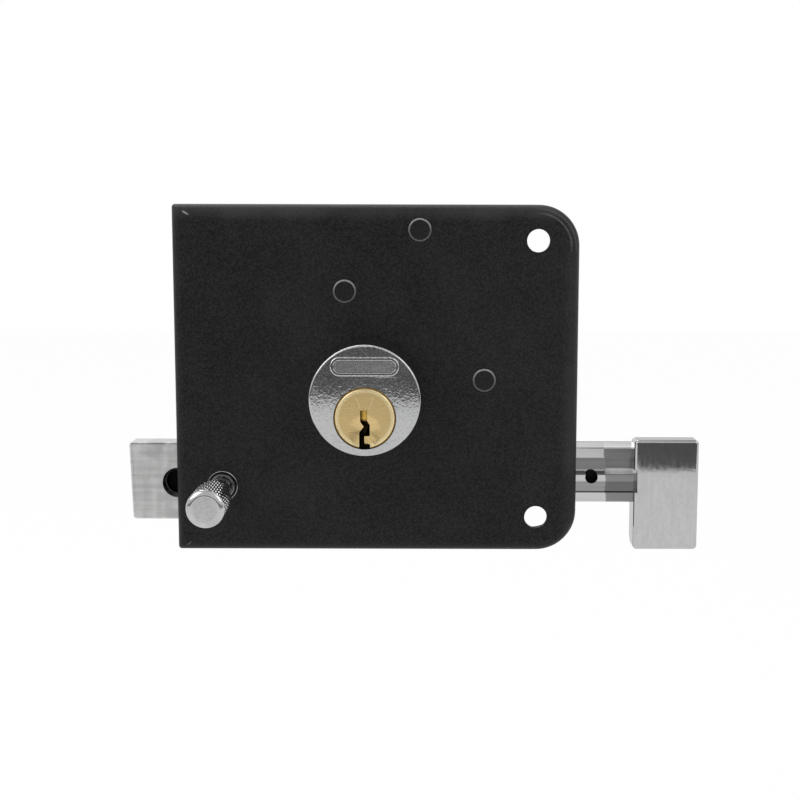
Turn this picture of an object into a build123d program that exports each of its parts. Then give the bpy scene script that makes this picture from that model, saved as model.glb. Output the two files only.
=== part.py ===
from build123d import *
import math
import os

# Surface mounted rim lock with a bar that slides right through its case.
# Millimetres, +Z up, +X towards the pull handle. The origin is the middle of the
# door face, and depth is measured from that face towards the front, along -Y.

# Case
case_width = 120.0
case_height = 103.5
case_depth = 25.0
case_sheet = 2.0
case_bend = 3.0
case_round = 12.0
case_square = 0.9
cover_sheet = 1.6
mount_inset_x = 12.2
mount_inset_z = 10.45
mount_hole_r = 3.4
cover_notch_r = 5.2

# Clearances
seat_gap = 0.02
running_gap = 0.06
free_gap = 0.3
tail_gap = 0.18
overcut = 1.0

# Posts that tie the case front to the back cover
post_r = 3.0
post_rivet_r = 3.45
post_shoulder_r = 4.4
post_shoulder = 3.0
upper_post_x = 13.0
upper_post_share = 0.429
left_post_x = -9.2
left_post_share = 0.255
right_post_x = 32.1
right_post_z = 0.1
screw_r = 1.75
screw_head_r = 3.3
screw_head = 1.4
screw_length = 9.0

# Cylinder and plug
cylinder_x = -2.0
cylinder_z = -2.3
cylinder_r = 15.6
cylinder_length = 28.0
cylinder_edge = 0.5
badge_width = 19.2
badge_height = 5.4
badge_rim = 1.1
badge_rise = 0.4
badge_round = 0.3
badge_above = 9.55
plug_below = 4.95
plug_r = 8.7
plug_proud = 0.2
plug_edge = 0.7
tail_r = 5.5
drive_square = 7.0
keyway_end = 3.0
facet_depth = 0.15
dish_below = 3.6
dish_r = 4.8
dish_floor_r = 0.8
dish_depth = 0.9
clamp_width = 30.0
clamp_height = 22.0
clamp_rise = 4.0
clamp_round = 3.0
clamp_sheet = 1.6
clamp_screw_x = 10.0
clamp_screw_above = 9.0
clamp_screw_r = 1.95
clamp_screw_reach = 8.0
clamp_bore = 9.0
clamp_head_r = 3.5
clamp_head = 2.2
head_edge = 0.5
clip_sheet = 1.0
clip_groove_r = 4.8
clip_r = 7.2
clip_mouth = 50.0

# Pin stacks
pin_count = 5
pin_pitch = 4.6
pin_first = 6.5
pin_r = 1.5
pin_tip_edge = 0.6
pin_hole_low = 1.1
key_pin_lengths = (7.0, 8.2, 6.6, 7.8, 7.4)
driver_length = 4.5
shear_gap = 0.35
pin_spring_wall = 0.4
chamber_length = 9.6

# Cam and tumbler
cam_sheet = 2.9
cam_stand = 1.7
cam_hub_r = 7.0
cam_reach = 12.0
cam_width = 5.0
cam_screw_r = 1.55
cam_head_r = 3.6
cam_head = 2.2
cam_screw_length = 8.0
tumbler_sheet = 2.4
tumbler_drop = 4.2
tumbler_lift_gap = 0.5
tumbler_wall = 3.0
tumbler_web = 1.2
tumbler_ear = 5.0
tumbler_round = 1.5
tooth_x = -14.0
tooth_width = 6.0
tooth_clear = 0.7
tooth_lead = 1.0
notch_side_gap = 0.9
notch_floor_gap = 1.5
slot_gap = 0.2
spigot_width = 3.0
spigot_height = 4.5

# Tumbler spring and its seat
spring_wire_r = 0.45
spring_coil_r = 3.05
spring_turns = 5
spring_end_gap = 0.05
seat_width = 6.4
seat_depth = 5.6
seat_under = 3.9
seat_saddle = 1.6
pilot_r = 2.1
pilot_length = 2.6

# Sliding bolt and bar
bolt_low_share = 0.41836
bolt_height = 23.5
bolt_behind = 5.5
bolt_thickness = 8.0
bolt_reach = 15.0
bolt_rake = 0.8
bolt_round = 1.0
bolt_edge = 0.4
tail_inset = 20.0
tail_lap = 6.0
tail_rivet_spread = 6.0
tail_end_x = 12.0
lap_length = 22.0
throw = 17.4
retract = 14.4
lock_hole_r = 3.8
lock_hole_mouth_r = 4.5
lock_hole_mouth = 0.7
lock_hole_depth = 5.4
bar_rise = 5.6
bar_height = 17.4
bar_foot = 3.1
bar_bead = 5.4
bar_groove = 1.5
bar_ramp = 2.95
bar_shelf = 2.75
shelf_drop = 3.9
ramp_drop = 0.9
groove_drop = 3.1
crown_drop = 7.2
bead_fall = 0.25
bead_edge = 0.2
bead_break = 0.6
bar_edge = 0.4
bar_hole_out = 5.0
bar_hole_above = 7.6
bar_hole_r = 1.9
bar_hole_depth = 4.0
joint_rivet_r = 2.0

# Pull handle
handle_stop = 0.35
handle_width = 19.45
handle_height = 33.6
handle_above = 1.8
handle_proud = 1.4
handle_thickness = 9.4
handle_edge = 0.8
handle_back_edge = 3.0
handle_corner = 1.2
handle_notch = 1.0
tenon_length = 11.6
tenon_height = 11.0
tenon_thickness = 4.0
tenon_low = 2.0
handle_screw_r = 1.4
handle_head_r = 2.6
handle_head = 1.3
handle_screw_spacing = 6.0

# Guides
guide_width = 8.0
guide_sheet = 2.0
guide_lip = 3.6
left_guide_inset = 24.0
right_guide_inset = 24.5
guide_rivet_r = 1.5
guide_rivet_inset = 5.0
guide_head = 1.0
guide_head_edge = 0.45

# Locking pin and its knob
pin_inset = 13.9
pin_above = 11.3
lock_pin_r = 3.3
lock_nose_r = 2.4
lock_nose = 3.6
lock_pin_edge = 0.5
lock_nose_root = 0.5
lock_pin_tip_gap = 0.25
pin_travel = 4.2
knob_r = 5.4
knob_length = 16.4
knob_reach = 33.6
knob_back_edge = 0.5
knob_chamfer = 2.8
knob_crown = 0.3
knob_crown_r = 4.75
knob_rim_r = 4.45
knob_dish_r = 4.1
knob_dish = 0.25
stud_r = 2.4
stud_length = 11.0
bush_r = 4.0
bush_collar_r = 4.6
bush_collar = 0.9
bush_edge = 0.3
bush_tail = 0.2
bush_mouth_r = 3.8
bush_mouth = 0.5
nut_flats = 12.0
nut_height = 2.8
key_slot = 2.4
key_depth = 1.0
dog_r = 1.1
dog_length = 3.4

# Worked out once from the sizes above
left_end = -case_width / 2
right_end = case_width / 2
wall_back = case_depth - case_sheet
mount_x = right_end - mount_inset_x
mount_spacing = case_height - 2 * mount_inset_z
upper_post_at = (upper_post_x, upper_post_share * case_height)
left_post_at = (left_post_x, left_post_share * case_height)
right_post_at = (right_post_x, right_post_z)
post_places = (upper_post_at, left_post_at, right_post_at)
plug_z = cylinder_z - plug_below
badge_z = cylinder_z + badge_above
clamp_screw_z = plug_z + clamp_screw_above
clamp_screw_places = [(cylinder_x + side * clamp_screw_x, clamp_screw_z) for side in (-1, 1)]
cylinder_front = case_depth + cylinder_length
plug_front = cylinder_front + plug_proud
clamp_back = wall_back - clamp_sheet
clip_front = clamp_back - free_gap
clip_back = clip_front - clip_sheet
cam_front = clip_back - cam_stand
cam_back = cam_front - cam_sheet
tumbler_middle = (cam_front + cam_back) / 2
tumbler_back = tumbler_middle - tumbler_sheet / 2
bolt_front = case_depth - bolt_behind
bolt_back = bolt_front - bolt_thickness
bolt_bottom = -bolt_low_share * case_height
bolt_top = bolt_bottom + bolt_height
bolt_tip_x = left_end - bolt_reach
tail_x = left_end + tail_inset
bar_bottom = bolt_bottom + bar_rise
bar_top = bar_bottom + bar_height
lap_front = bolt_back + bolt_thickness / 2
lap_x = tail_end_x - lap_length
ledge_z = plug_z + cam_reach + tumbler_lift_gap
tooth_bottom = bolt_top + tooth_clear
notch_bottom = tooth_bottom - tumbler_drop - notch_floor_gap
pin_depths = [cylinder_front - pin_first - i * pin_pitch for i in range(pin_count)]
chamber_top = plug_z + plug_r + chamber_length
pin_x = left_end + pin_inset
pin_z = bolt_bottom + pin_above
knob_front = case_depth + knob_reach
knob_back = knob_front - knob_length
pin_tip = bolt_front + lock_pin_tip_gap
nut_back = wall_back - nut_height
bush_back = nut_back - bush_tail
dog_depth = wall_back - nut_height / 2
guide_rim = bolt_front - guide_lip
left_guide_x = left_end + left_guide_inset
right_guide_x = right_end - right_guide_inset
handle_x = right_end + throw + handle_stop
handle_top = bar_top + handle_above
handle_bottom = handle_top - handle_height
handle_front = bolt_front + handle_proud
handle_back = handle_front - handle_thickness
handle_middle = (handle_front + handle_back) / 2
tenon_z = (bar_top + bar_bottom) / 2 - tenon_low
handle_screw_heights = (tenon_z - handle_screw_spacing / 2, tenon_z + handle_screw_spacing / 2)
lap_top = notch_bottom - free_gap
lap_z = (lap_top + bar_bottom) / 2
bar_rivets = [(lap_x + lap_length * share, lap_z) for share in (0.25, 0.75)]
tail_rivets = [(tail_x + tail_lap / 2, pin_z + side * tail_rivet_spread) for side in (-1, 1)]
guides = (("left_guide", left_guide_x, bolt_bottom, bolt_top),
          ("right_guide", right_guide_x, bar_bottom, bar_top))
guide_rivets_at = [(x, z) for name, x, low, high in guides
                   for z in (low + guide_rivet_inset, high - guide_rivet_inset)]


def layer(depth):
    # A plane parallel to the door face, with local x along X and local y along Z
    return Plane.XZ.offset(depth)


def section(x):
    # A plane across the bar, with local x as depth and local y along Z
    return Plane(origin=(x, 0, 0), x_dir=(0, -1, 0), z_dir=(-1, 0, 0))


def turned(x, z, *steps, mode=Mode.ADD):
    # A round piece about a line square to the door face, from (depth, radius) steps
    with BuildSketch(section(x)) as half:
        with BuildLine():
            outline = [(steps[0][0], z)]
            outline += [(depth, z + radius) for depth, radius in steps]
            outline += [(steps[-1][0], z)]
            Polyline(*outline, close=True)
        make_face()
    revolve(half.sketch, axis=Axis((x, 0, z), (0, -1, 0)), mode=mode)


def bored(x, z, radius, back, front):
    turned(x, z, (back, radius), (front, radius), mode=Mode.SUBTRACT)


def block(x0, x1, z0, z1, back, front, mode=Mode.ADD):
    with BuildSketch(layer(back)) as face:
        with Locations(((x0 + x1) / 2, (z0 + z1) / 2)):
            Rectangle(x1 - x0, z1 - z0)
    extrude(face.sketch, amount=front - back, mode=mode)


def lock_hole(x):
    # A blind hole for the locking pin, widened at its mouth
    turned(x, pin_z, (bolt_front - lock_hole_depth, lock_hole_r), (bolt_front - lock_hole_mouth, lock_hole_r),
           (bolt_front, lock_hole_mouth_r), (bolt_front + overcut, lock_hole_mouth_r), mode=Mode.SUBTRACT)


def save(piece, name):
    piece.part.label = name
    export_step(piece.part, f"parts/{name}.step")


os.makedirs("parts", exist_ok=True)

# Case shell: folded sheet box, open towards the door, square on the bolt side
with BuildPart() as cavity:
    with BuildSketch(Plane.XZ) as inner:
        Rectangle(case_width - 2 * case_sheet, case_height - 2 * case_sheet)
        fillet(inner.vertices().group_by(Axis.X)[-1], case_round - case_sheet)
    extrude(amount=wall_back)
    fillet(cavity.faces().sort_by(Axis.Y)[0].edges(), case_bend - case_sheet)

with BuildPart() as case_shell:
    with BuildSketch(Plane.XZ) as outline:
        Rectangle(case_width, case_height)
        fillet(outline.vertices().group_by(Axis.X)[-1], case_round)
        fillet(outline.vertices().group_by(Axis.X)[0], case_square)
    extrude(amount=case_depth)
    front_face = case_shell.faces().sort_by(Axis.Y)[0]
    fillet(front_face.edges(), case_bend)
    add(cavity.part, mode=Mode.SUBTRACT)
    for z_side in (-1, 1):
        bored(mount_x, z_side * mount_spacing / 2, mount_hole_r, 0, case_depth + overcut)
    for x, z in post_places:
        bored(x, z, post_rivet_r + seat_gap, wall_back - overcut, case_depth + overcut)
    for x, z in clamp_screw_places:
        bored(x, z, clamp_screw_r + tail_gap, wall_back - overcut, case_depth + overcut)
    bored(cylinder_x, plug_z, tail_r + tail_gap, wall_back - overcut, case_depth + overcut)
    bored(pin_x, pin_z, bush_r + seat_gap, wall_back - overcut, case_depth + overcut)
    block(left_end - overcut, left_end + case_sheet + overcut, bolt_bottom - free_gap,
          bolt_top + free_gap, bolt_back - free_gap, bolt_front + free_gap, mode=Mode.SUBTRACT)
    block(right_end - case_sheet - overcut, right_end + overcut, bar_bottom - free_gap,
          bar_top + free_gap, bolt_back - free_gap, bolt_front + free_gap, mode=Mode.SUBTRACT)
save(case_shell, "case_shell")

# Back cover: flat plate set into the open back of the case, notched round the mounting bolts
with BuildPart() as back_cover:
    cover_width = case_width - 2 * case_sheet - 2 * free_gap
    cover_height = case_height - 2 * case_sheet - 2 * free_gap
    with BuildSketch(Plane.XZ) as plate:
        Rectangle(cover_width, cover_height)
        fillet(plate.vertices().group_by(Axis.X)[-1], case_round - case_sheet - free_gap)
        fillet(plate.vertices().group_by(Axis.X)[0], case_square)
    extrude(amount=cover_sheet)
    for z_side in (-1, 1):
        notch_z = z_side * mount_spacing / 2
        bored(mount_x, notch_z, cover_notch_r, -overcut, cover_sheet + overcut)
        block(mount_x - cover_notch_r, mount_x + cover_notch_r, *sorted((notch_z, z_side * cover_height)),
              -overcut, cover_sheet + overcut, mode=Mode.SUBTRACT)
    for x, z in post_places:
        turned(x, z, (0, screw_head_r + seat_gap), (screw_head, screw_r + seat_gap),
               (cover_sheet, screw_r + seat_gap), mode=Mode.SUBTRACT)
    for x, z in guide_rivets_at:
        bored(x, z, guide_rivet_r + seat_gap, -overcut, cover_sheet + overcut)
save(back_cover, "back_cover")

# Posts: riveted flush into the case front, shouldered, and tapped for the cover screws
for name, (x, z) in zip(("upper_post", "left_post", "right_post"), post_places):
    with BuildPart() as post:
        turned(x, z, (cover_sheet, post_r), (wall_back - post_shoulder, post_r),
               (wall_back - post_shoulder, post_shoulder_r), (wall_back, post_shoulder_r),
               (wall_back, post_rivet_r), (case_depth, post_rivet_r))
        bored(x, z, screw_r + seat_gap, 0, cover_sheet + screw_length)
    save(post, name)

with BuildPart() as cover_screws:
    for x, z in post_places:
        turned(x, z, (0, screw_head_r), (screw_head, screw_r), (screw_length, screw_r))
save(cover_screws, "cover_screws")

# Cylinder body: round barrel on the case front, bored low for the plug
with BuildPart() as cylinder_body:
    turned(cylinder_x, cylinder_z, (case_depth, cylinder_r), (cylinder_front, cylinder_r))
    barrel_edge = cylinder_body.faces().sort_by(Axis.Y)[0].edges()
    fillet(barrel_edge, cylinder_edge)
    with BuildSketch(layer(cylinder_front)) as badge:
        with Locations((cylinder_x, badge_z)):
            SlotOverall(badge_width, badge_height)
            SlotOverall(badge_width - 2 * badge_rim, badge_height - 2 * badge_rim, mode=Mode.SUBTRACT)
    extrude(amount=badge_rise)
    fillet(cylinder_body.faces().sort_by(Axis.Y)[0].edges(), badge_round)
    bored(cylinder_x, plug_z, plug_r + running_gap, case_depth - overcut, cylinder_front + overcut)
    with BuildSketch(Plane.XY.offset(plug_z)) as chambers:
        with Locations([(cylinder_x, -depth) for depth in pin_depths]):
            Circle(pin_r + running_gap)
    extrude(amount=chamber_top - plug_z, mode=Mode.SUBTRACT)
    for x, z in clamp_screw_places:
        bored(x, z, clamp_screw_r + seat_gap, case_depth - overcut, case_depth + clamp_bore)
save(cylinder_body, "cylinder_body")

# Key plug: brass, with the keyway broached through its lower edge, a worn dish
# round the key mouth and a shallow facet above it
keyway_outline = (
    (-1.27, 2.26), (0.64, 2.26), (0.64, -0.66), (1.38, -1.9), (1.38, -5.0), (-0.11, -5.1),
    (-0.11, -7.0), (1.49, -7.3), (1.49, -9.5), (-1.57, -9.5), (-1.57, -4.0), (-0.33, -2.4),
    (-1.27, -0.94),
)
facet_outline = ((-3.5, 6.0), (2.5, 6.0), (1.13, 2.5), (-1.45, 2.5))
with BuildPart() as plug:
    turned(cylinder_x, plug_z, (cam_front, tail_r), (clip_back, tail_r), (clip_back, clip_groove_r),
           (clip_front, clip_groove_r), (clip_front, tail_r), (case_depth + free_gap, tail_r),
           (case_depth + free_gap, plug_r), (plug_front - plug_edge, plug_r),
           (plug_front, plug_r - plug_edge))
    with BuildSketch(layer(cam_back)) as drive:
        with Locations((cylinder_x, plug_z)):
            Rectangle(drive_square, drive_square)
    extrude(amount=cam_sheet)
    turned(cylinder_x, plug_z - dish_below, (plug_front - dish_depth, dish_floor_r),
           (plug_front, dish_r), (plug_front + overcut, dish_r), mode=Mode.SUBTRACT)
    with BuildSketch(layer(plug_front - facet_depth)) as facet:
        with BuildLine():
            Polyline(*[(cylinder_x + x, plug_z + z) for x, z in facet_outline], close=True)
        make_face()
    extrude(amount=facet_depth + overcut, mode=Mode.SUBTRACT)
    with BuildSketch(layer(case_depth + keyway_end)) as keyway:
        with BuildLine():
            Polyline(*[(cylinder_x + x, plug_z + z) for x, z in keyway_outline], close=True)
        make_face()
    extrude(amount=cylinder_length, mode=Mode.SUBTRACT)
    with BuildSketch(Plane.XY.offset(plug_z - pin_hole_low)) as pin_holes:
        with Locations([(cylinder_x, -depth) for depth in pin_depths]):
            Circle(pin_r + running_gap)
    extrude(amount=pin_hole_low + plug_r + overcut, mode=Mode.SUBTRACT)
    bored(cylinder_x, plug_z, cam_screw_r + seat_gap, cam_back - overcut, cam_back + screw_length)
save(plug, "plug")

# Pin stacks, drawn with their joints at the edge of the plug
pin_top = plug_z + plug_r - shear_gap
with BuildPart() as key_pins:
    for depth, length in zip(pin_depths, key_pin_lengths):
        with BuildSketch(Plane.XY.offset(pin_top - length)) as pin:
            with Locations((cylinder_x, -depth)):
                Circle(pin_r)
        extrude(amount=length)
    tips = [pin_solid.edges().sort_by(Axis.Z)[0] for pin_solid in key_pins.solids()]
    chamfer(tips, pin_tip_edge)
save(key_pins, "key_pins")

driver_bottom = plug_z + plug_r + shear_gap
with BuildPart() as driver_pins:
    with BuildSketch(Plane.XY.offset(driver_bottom)) as driver:
        with Locations([(cylinder_x, -depth) for depth in pin_depths]):
            Circle(pin_r)
    extrude(amount=driver_length)
save(driver_pins, "driver_pins")

with BuildPart() as pin_springs:
    with BuildSketch(Plane.XY.offset(driver_bottom + driver_length)) as coil:
        with Locations([(cylinder_x, -depth) for depth in pin_depths]):
            Circle(pin_r - running_gap)
            Circle(pin_r - pin_spring_wall, mode=Mode.SUBTRACT)
    extrude(amount=chamber_top - driver_bottom - driver_length)
save(pin_springs, "pin_springs")

# Clamp plate and screws that pull the cylinder against the case front
clamp_z = clamp_screw_z + clamp_rise - clamp_height / 2
with BuildPart() as clamp_plate:
    with BuildSketch(layer(clamp_back)) as plate:
        with Locations((cylinder_x, clamp_z)):
            RectangleRounded(clamp_width, clamp_height, clamp_round)
    extrude(amount=clamp_sheet)
    bored(cylinder_x, plug_z, tail_r + running_gap, clamp_back - overcut, wall_back + overcut)
    for x, z in clamp_screw_places:
        bored(x, z, clamp_screw_r + seat_gap, clamp_back - overcut, wall_back + overcut)
save(clamp_plate, "clamp_plate")

with BuildPart() as cylinder_screws:
    for x, z in clamp_screw_places:
        turned(x, z, (clamp_back - clamp_head, clamp_head_r - head_edge),
               (clamp_back - clamp_head + head_edge, clamp_head_r), (clamp_back, clamp_head_r),
               (clamp_back, clamp_screw_r), (case_depth + clamp_screw_reach, clamp_screw_r))
save(cylinder_screws, "cylinder_screws")

# Open ring clip that keeps the plug from being drawn out
with BuildPart() as plug_clip:
    with BuildSketch(layer(clip_back + seat_gap)) as ring:
        with Locations((cylinder_x, plug_z)):
            Circle(clip_r)
            Circle(clip_groove_r + seat_gap, mode=Mode.SUBTRACT)
        with BuildLine():
            mouth = [(clip_r * 2 * math.sin(math.radians(side * clip_mouth / 2)),
                      -clip_r * 2 * math.cos(math.radians(side * clip_mouth / 2))) for side in (-1, 1)]
            Polyline((cylinder_x, plug_z), *[(cylinder_x + x, plug_z + z) for x, z in mouth], close=True)
        make_face(mode=Mode.SUBTRACT)
    extrude(amount=clip_sheet - 2 * seat_gap)
save(plug_clip, "plug_clip")

# Cam on the square of the plug tail, standing up when the lock is free
with BuildPart() as cam:
    with BuildSketch(layer(cam_back)) as finger:
        with Locations((cylinder_x, plug_z)):
            Circle(cam_hub_r)
        with Locations((cylinder_x, plug_z + cam_reach / 2)):
            SlotOverall(cam_reach, cam_width, rotation=90)
        with Locations((cylinder_x, plug_z)):
            Rectangle(drive_square + 2 * seat_gap, drive_square + 2 * seat_gap, mode=Mode.SUBTRACT)
    extrude(amount=cam_sheet)
save(cam, "cam")

with BuildPart() as cam_screw:
    turned(cylinder_x, plug_z, (cam_back - cam_head, cam_head_r - head_edge),
           (cam_back - cam_head + head_edge, cam_head_r), (cam_back, cam_head_r),
           (cam_back, cam_screw_r), (cam_back + cam_screw_length, cam_screw_r))
save(cam_screw, "cam_screw")

# Tumbler: slotted plate that rides on two posts and drops its tooth into the slide
plate_left = tooth_x - tooth_width / 2
slot_r = post_r + slot_gap
plate_right = right_post_x + slot_r + tumbler_wall
arm_left = right_post_x - slot_r - tumbler_wall
arm_bottom = right_post_z - slot_r - tumbler_wall
web_top = left_post_at[1] - slot_r - tumbler_web
ear_top = left_post_at[1] + tumbler_drop + slot_r + tumbler_wall
ear_right = left_post_x + slot_r + tumbler_ear
with BuildPart() as tumbler:
    with BuildSketch(layer(tumbler_back)) as shape:
        with BuildLine():
            Polyline(
                (plate_left, tooth_bottom), (plate_left + tooth_width, tooth_bottom),
                (plate_left + tooth_width, ledge_z), (arm_left, ledge_z), (arm_left, arm_bottom),
                (plate_right, arm_bottom), (plate_right, web_top), (ear_right, web_top),
                (ear_right, ear_top), (plate_left, ear_top), close=True)
        make_face()
        fillet(shape.vertices().filter_by(lambda v: v.Y > tooth_bottom + tumbler_round), tumbler_round)
        chamfer(shape.vertices().group_by(Axis.Y)[0], tooth_lead)
        with Locations((upper_post_x, web_top + spigot_height / 2)):
            Rectangle(spigot_width, spigot_height)
        for x, z in (left_post_at, right_post_at):
            with Locations((x, z + tumbler_drop / 2)):
                SlotCenterToCenter(tumbler_drop, 2 * slot_r, rotation=90, mode=Mode.SUBTRACT)
    extrude(amount=tumbler_sheet)
save(tumbler, "tumbler")

# Spring seat: saddle under the upper post with a pilot for the spring
seat_bottom = upper_post_at[1] - post_r - seat_under
with BuildPart() as spring_seat:
    block(upper_post_x - seat_width / 2, upper_post_x + seat_width / 2,
          seat_bottom, upper_post_at[1] - seat_saddle,
          tumbler_middle - seat_depth / 2, tumbler_middle + seat_depth / 2)
    bored(*upper_post_at, post_r + seat_gap, tumbler_middle - seat_depth, tumbler_middle + seat_depth)
    with BuildSketch(Plane.XY.offset(seat_bottom)) as pilot:
        with Locations((upper_post_x, -tumbler_middle)):
            Circle(pilot_r)
    extrude(amount=-pilot_length)
save(spring_seat, "spring_seat")

# Tumbler spring: one wire wound in half turns between the plate edge and the seat
spring_low = web_top + spring_wire_r + spring_end_gap
spring_high = seat_bottom - spring_wire_r - spring_end_gap
half_turns = 2 * spring_turns
half_rise = (spring_high - spring_low) / half_turns
print("tumbler spring: least gap between turns", round(2 * half_rise - 2 * spring_wire_r, 2), "mm")


def coil_point(quarter):
    angle = quarter * math.pi / 2
    return (upper_post_x + spring_coil_r * math.cos(angle),
            -tumbler_middle + spring_coil_r * math.sin(angle),
            spring_low + quarter * half_rise / 2)


with BuildPart() as tumbler_spring:
    with BuildLine() as wire_path:
        for turn in range(half_turns):
            ThreePointArc(*[coil_point(2 * turn + step) for step in range(3)])
    start = wire_path.line @ 0
    with BuildSketch(Plane(origin=start, z_dir=wire_path.line % 0)) as wire:
        Circle(spring_wire_r)
    sweep(path=wire_path.line)
save(tumbler_spring, "tumbler_spring")

# Bolt: flat bar with a lock pin hole for each of its two outer stations
with BuildPart() as bolt:
    with BuildSketch(layer(bolt_back)) as blank:
        with BuildLine():
            Polyline((bolt_tip_x, bolt_top), (tail_x, bolt_top), (tail_x, bolt_bottom),
                     (bolt_tip_x + bolt_rake, bolt_bottom), close=True)
        make_face()
        fillet(blank.vertices().group_by(Axis.X)[0:2], bolt_round)
    extrude(amount=bolt_thickness)
    chamfer(bolt.faces().sort_by(Axis.Y)[0].edges().filter_by(Axis.Z, reverse=True), bolt_edge)
    block(tail_x, tail_x + tail_lap, bolt_bottom, bolt_top, bolt_back, lap_front)
    for shift in (0.0, -retract):
        lock_hole(pin_x + shift)
    for x, z in tail_rivets:
        bored(x, z, joint_rivet_r + seat_gap, bolt_back - overcut, lap_front + overcut)
save(bolt, "bolt")

# Bolt tail: steel slide lapped on the bolt, with the third hole and the tumbler notches
notch_half = tooth_width / 2 + notch_side_gap
with BuildPart() as bolt_tail:
    block(tail_x, tail_end_x, bolt_bottom, bolt_top, lap_front, bolt_front)
    block(tail_x + tail_lap, lap_x, bolt_bottom, bolt_top, bolt_back, lap_front)
    lock_hole(pin_x + throw)
    for shift in (0.0, throw, -retract):
        block(tooth_x + shift - notch_half, tooth_x + shift + notch_half, notch_bottom,
              bolt_top + overcut, bolt_back - overcut, bolt_front + overcut, mode=Mode.SUBTRACT)
    for x, z in tail_rivets + bar_rivets:
        bored(x, z, joint_rivet_r + seat_gap, lap_front - overcut, bolt_front + overcut)
save(bolt_tail, "bolt_tail")

# Bar: ribbed strip lapped behind the tail, with a tenon for the handle; the bead's face
# falls back towards the foot along an arc, a quarter of the way by its middle
foot_z = bar_bottom + bar_foot
bead_z = foot_z + bar_bead
ramp_z = bead_z + bar_groove
shelf_z = ramp_z + bar_ramp
crown_z = shelf_z + bar_shelf
with BuildPart() as bar:
    with BuildSketch(section(tail_end_x)) as profile:
        with BuildLine():
            Polyline((bolt_front, foot_z - bead_edge), (bolt_front, bar_bottom + bar_edge),
                     (bolt_front - bar_edge, bar_bottom), (bolt_back, bar_bottom), (bolt_back, bar_top),
                     (bolt_front - crown_drop, bar_top), (bolt_front - shelf_drop, crown_z),
                     (bolt_front - shelf_drop, shelf_z), (bolt_front - ramp_drop, ramp_z),
                     (bolt_front - groove_drop, ramp_z - bead_edge),
                     (bolt_front - groove_drop, bead_z + bead_edge),
                     (bolt_front, bead_z))
            ThreePointArc((bolt_front, bead_z), (bolt_front - bead_fall / 4, (bead_z + foot_z) / 2),
                          (bolt_front - bead_fall, foot_z + bead_edge))
            Polyline((bolt_front - bead_fall, foot_z + bead_edge), (bolt_front - bead_break, foot_z),
                     (bolt_front, foot_z - bead_edge))
        make_face()
    extrude(amount=-(handle_x - tail_end_x))
    block(lap_x, tail_end_x, bar_bottom, lap_top, bolt_back, lap_front)
    block(handle_x, handle_x + tenon_length, tenon_z - tenon_height / 2, tenon_z + tenon_height / 2,
          handle_middle - tenon_thickness / 2, handle_middle + tenon_thickness / 2)
    bored(right_end + bar_hole_out, bar_bottom + bar_hole_above, bar_hole_r,
          bolt_front - bar_hole_depth, bolt_front + overcut)
    for x, z in bar_rivets:
        bored(x, z, joint_rivet_r + seat_gap, bolt_back - overcut, lap_front + overcut)
    for z in handle_screw_heights:
        bored(handle_x + tenon_length / 2, z, handle_screw_r + seat_gap, handle_back, handle_front)
save(bar, "bar")

with BuildPart() as joint_rivets:
    for x, z in tail_rivets + bar_rivets:
        turned(x, z, (bolt_back, joint_rivet_r), (bolt_front, joint_rivet_r))
save(joint_rivets, "joint_rivets")

# Pull handle: solid block that drops below the bar, with a pocket for the tenon
with BuildPart() as pull_handle:
    with BuildSketch(layer(handle_back)) as grip:
        with Locations((handle_x + handle_width / 2, (handle_top + handle_bottom) / 2)):
            Rectangle(handle_width, handle_height)
    extrude(amount=handle_thickness)
    chamfer(pull_handle.faces().sort_by(Axis.Y)[-1].edges().sort_by(Axis.X)[1:], handle_back_edge)
    fillet(pull_handle.edges().filter_by(Axis.Y), handle_corner)
    fillet(pull_handle.faces().sort_by(Axis.Y)[0].edges(), handle_edge)
    block(handle_x - overcut, handle_x + tenon_length + seat_gap,
          tenon_z - tenon_height / 2 - seat_gap, tenon_z + tenon_height / 2 + seat_gap,
          handle_middle - tenon_thickness / 2 - seat_gap,
          handle_middle + tenon_thickness / 2 + seat_gap, mode=Mode.SUBTRACT)
    block(handle_x - overcut, handle_x + handle_notch, foot_z, ramp_z,
          bolt_front - groove_drop, handle_front + overcut, mode=Mode.SUBTRACT)
    for z in handle_screw_heights:
        turned(handle_x + tenon_length / 2, z, (handle_back, handle_head_r + seat_gap),
               (handle_back + handle_head, handle_screw_r + seat_gap),
               (handle_middle, handle_screw_r + seat_gap), mode=Mode.SUBTRACT)
save(pull_handle, "pull_handle")

with BuildPart() as handle_screws:
    for z in handle_screw_heights:
        turned(handle_x + tenon_length / 2, z, (handle_back, handle_head_r),
               (handle_back + handle_head, handle_screw_r),
               (handle_middle + tenon_thickness / 2, handle_screw_r))
save(handle_screws, "handle_screws")

# Guides: folded brackets on the back cover, one round the bolt and one round the bar
bracket_front = cover_sheet + guide_sheet
for name, x, low, high in guides:
    with BuildPart() as guide:
        west = x - guide_width / 2
        east = x + guide_width / 2
        low_face = low - free_gap
        high_face = high + free_gap
        block(west, east, low_face - guide_sheet, high_face + guide_sheet, cover_sheet, bracket_front)
        block(west, east, low_face - guide_sheet, low_face, cover_sheet, guide_rim)
        block(west, east, high_face, high_face + guide_sheet, cover_sheet, guide_rim)
        for rivet_x, z in guide_rivets_at:
            bored(rivet_x, z, guide_rivet_r + seat_gap, 0, bracket_front + overcut)
    save(guide, name)

with BuildPart() as guide_rivets:
    for x, z in guide_rivets_at:
        turned(x, z, (0, guide_rivet_r), (bracket_front, guide_rivet_r), (bracket_front, 2 * guide_rivet_r),
               (bracket_front + guide_head - guide_head_edge, 2 * guide_rivet_r - guide_head_edge),
               (bracket_front + guide_head, guide_rivet_r))
save(guide_rivets, "guide_rivets")

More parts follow.
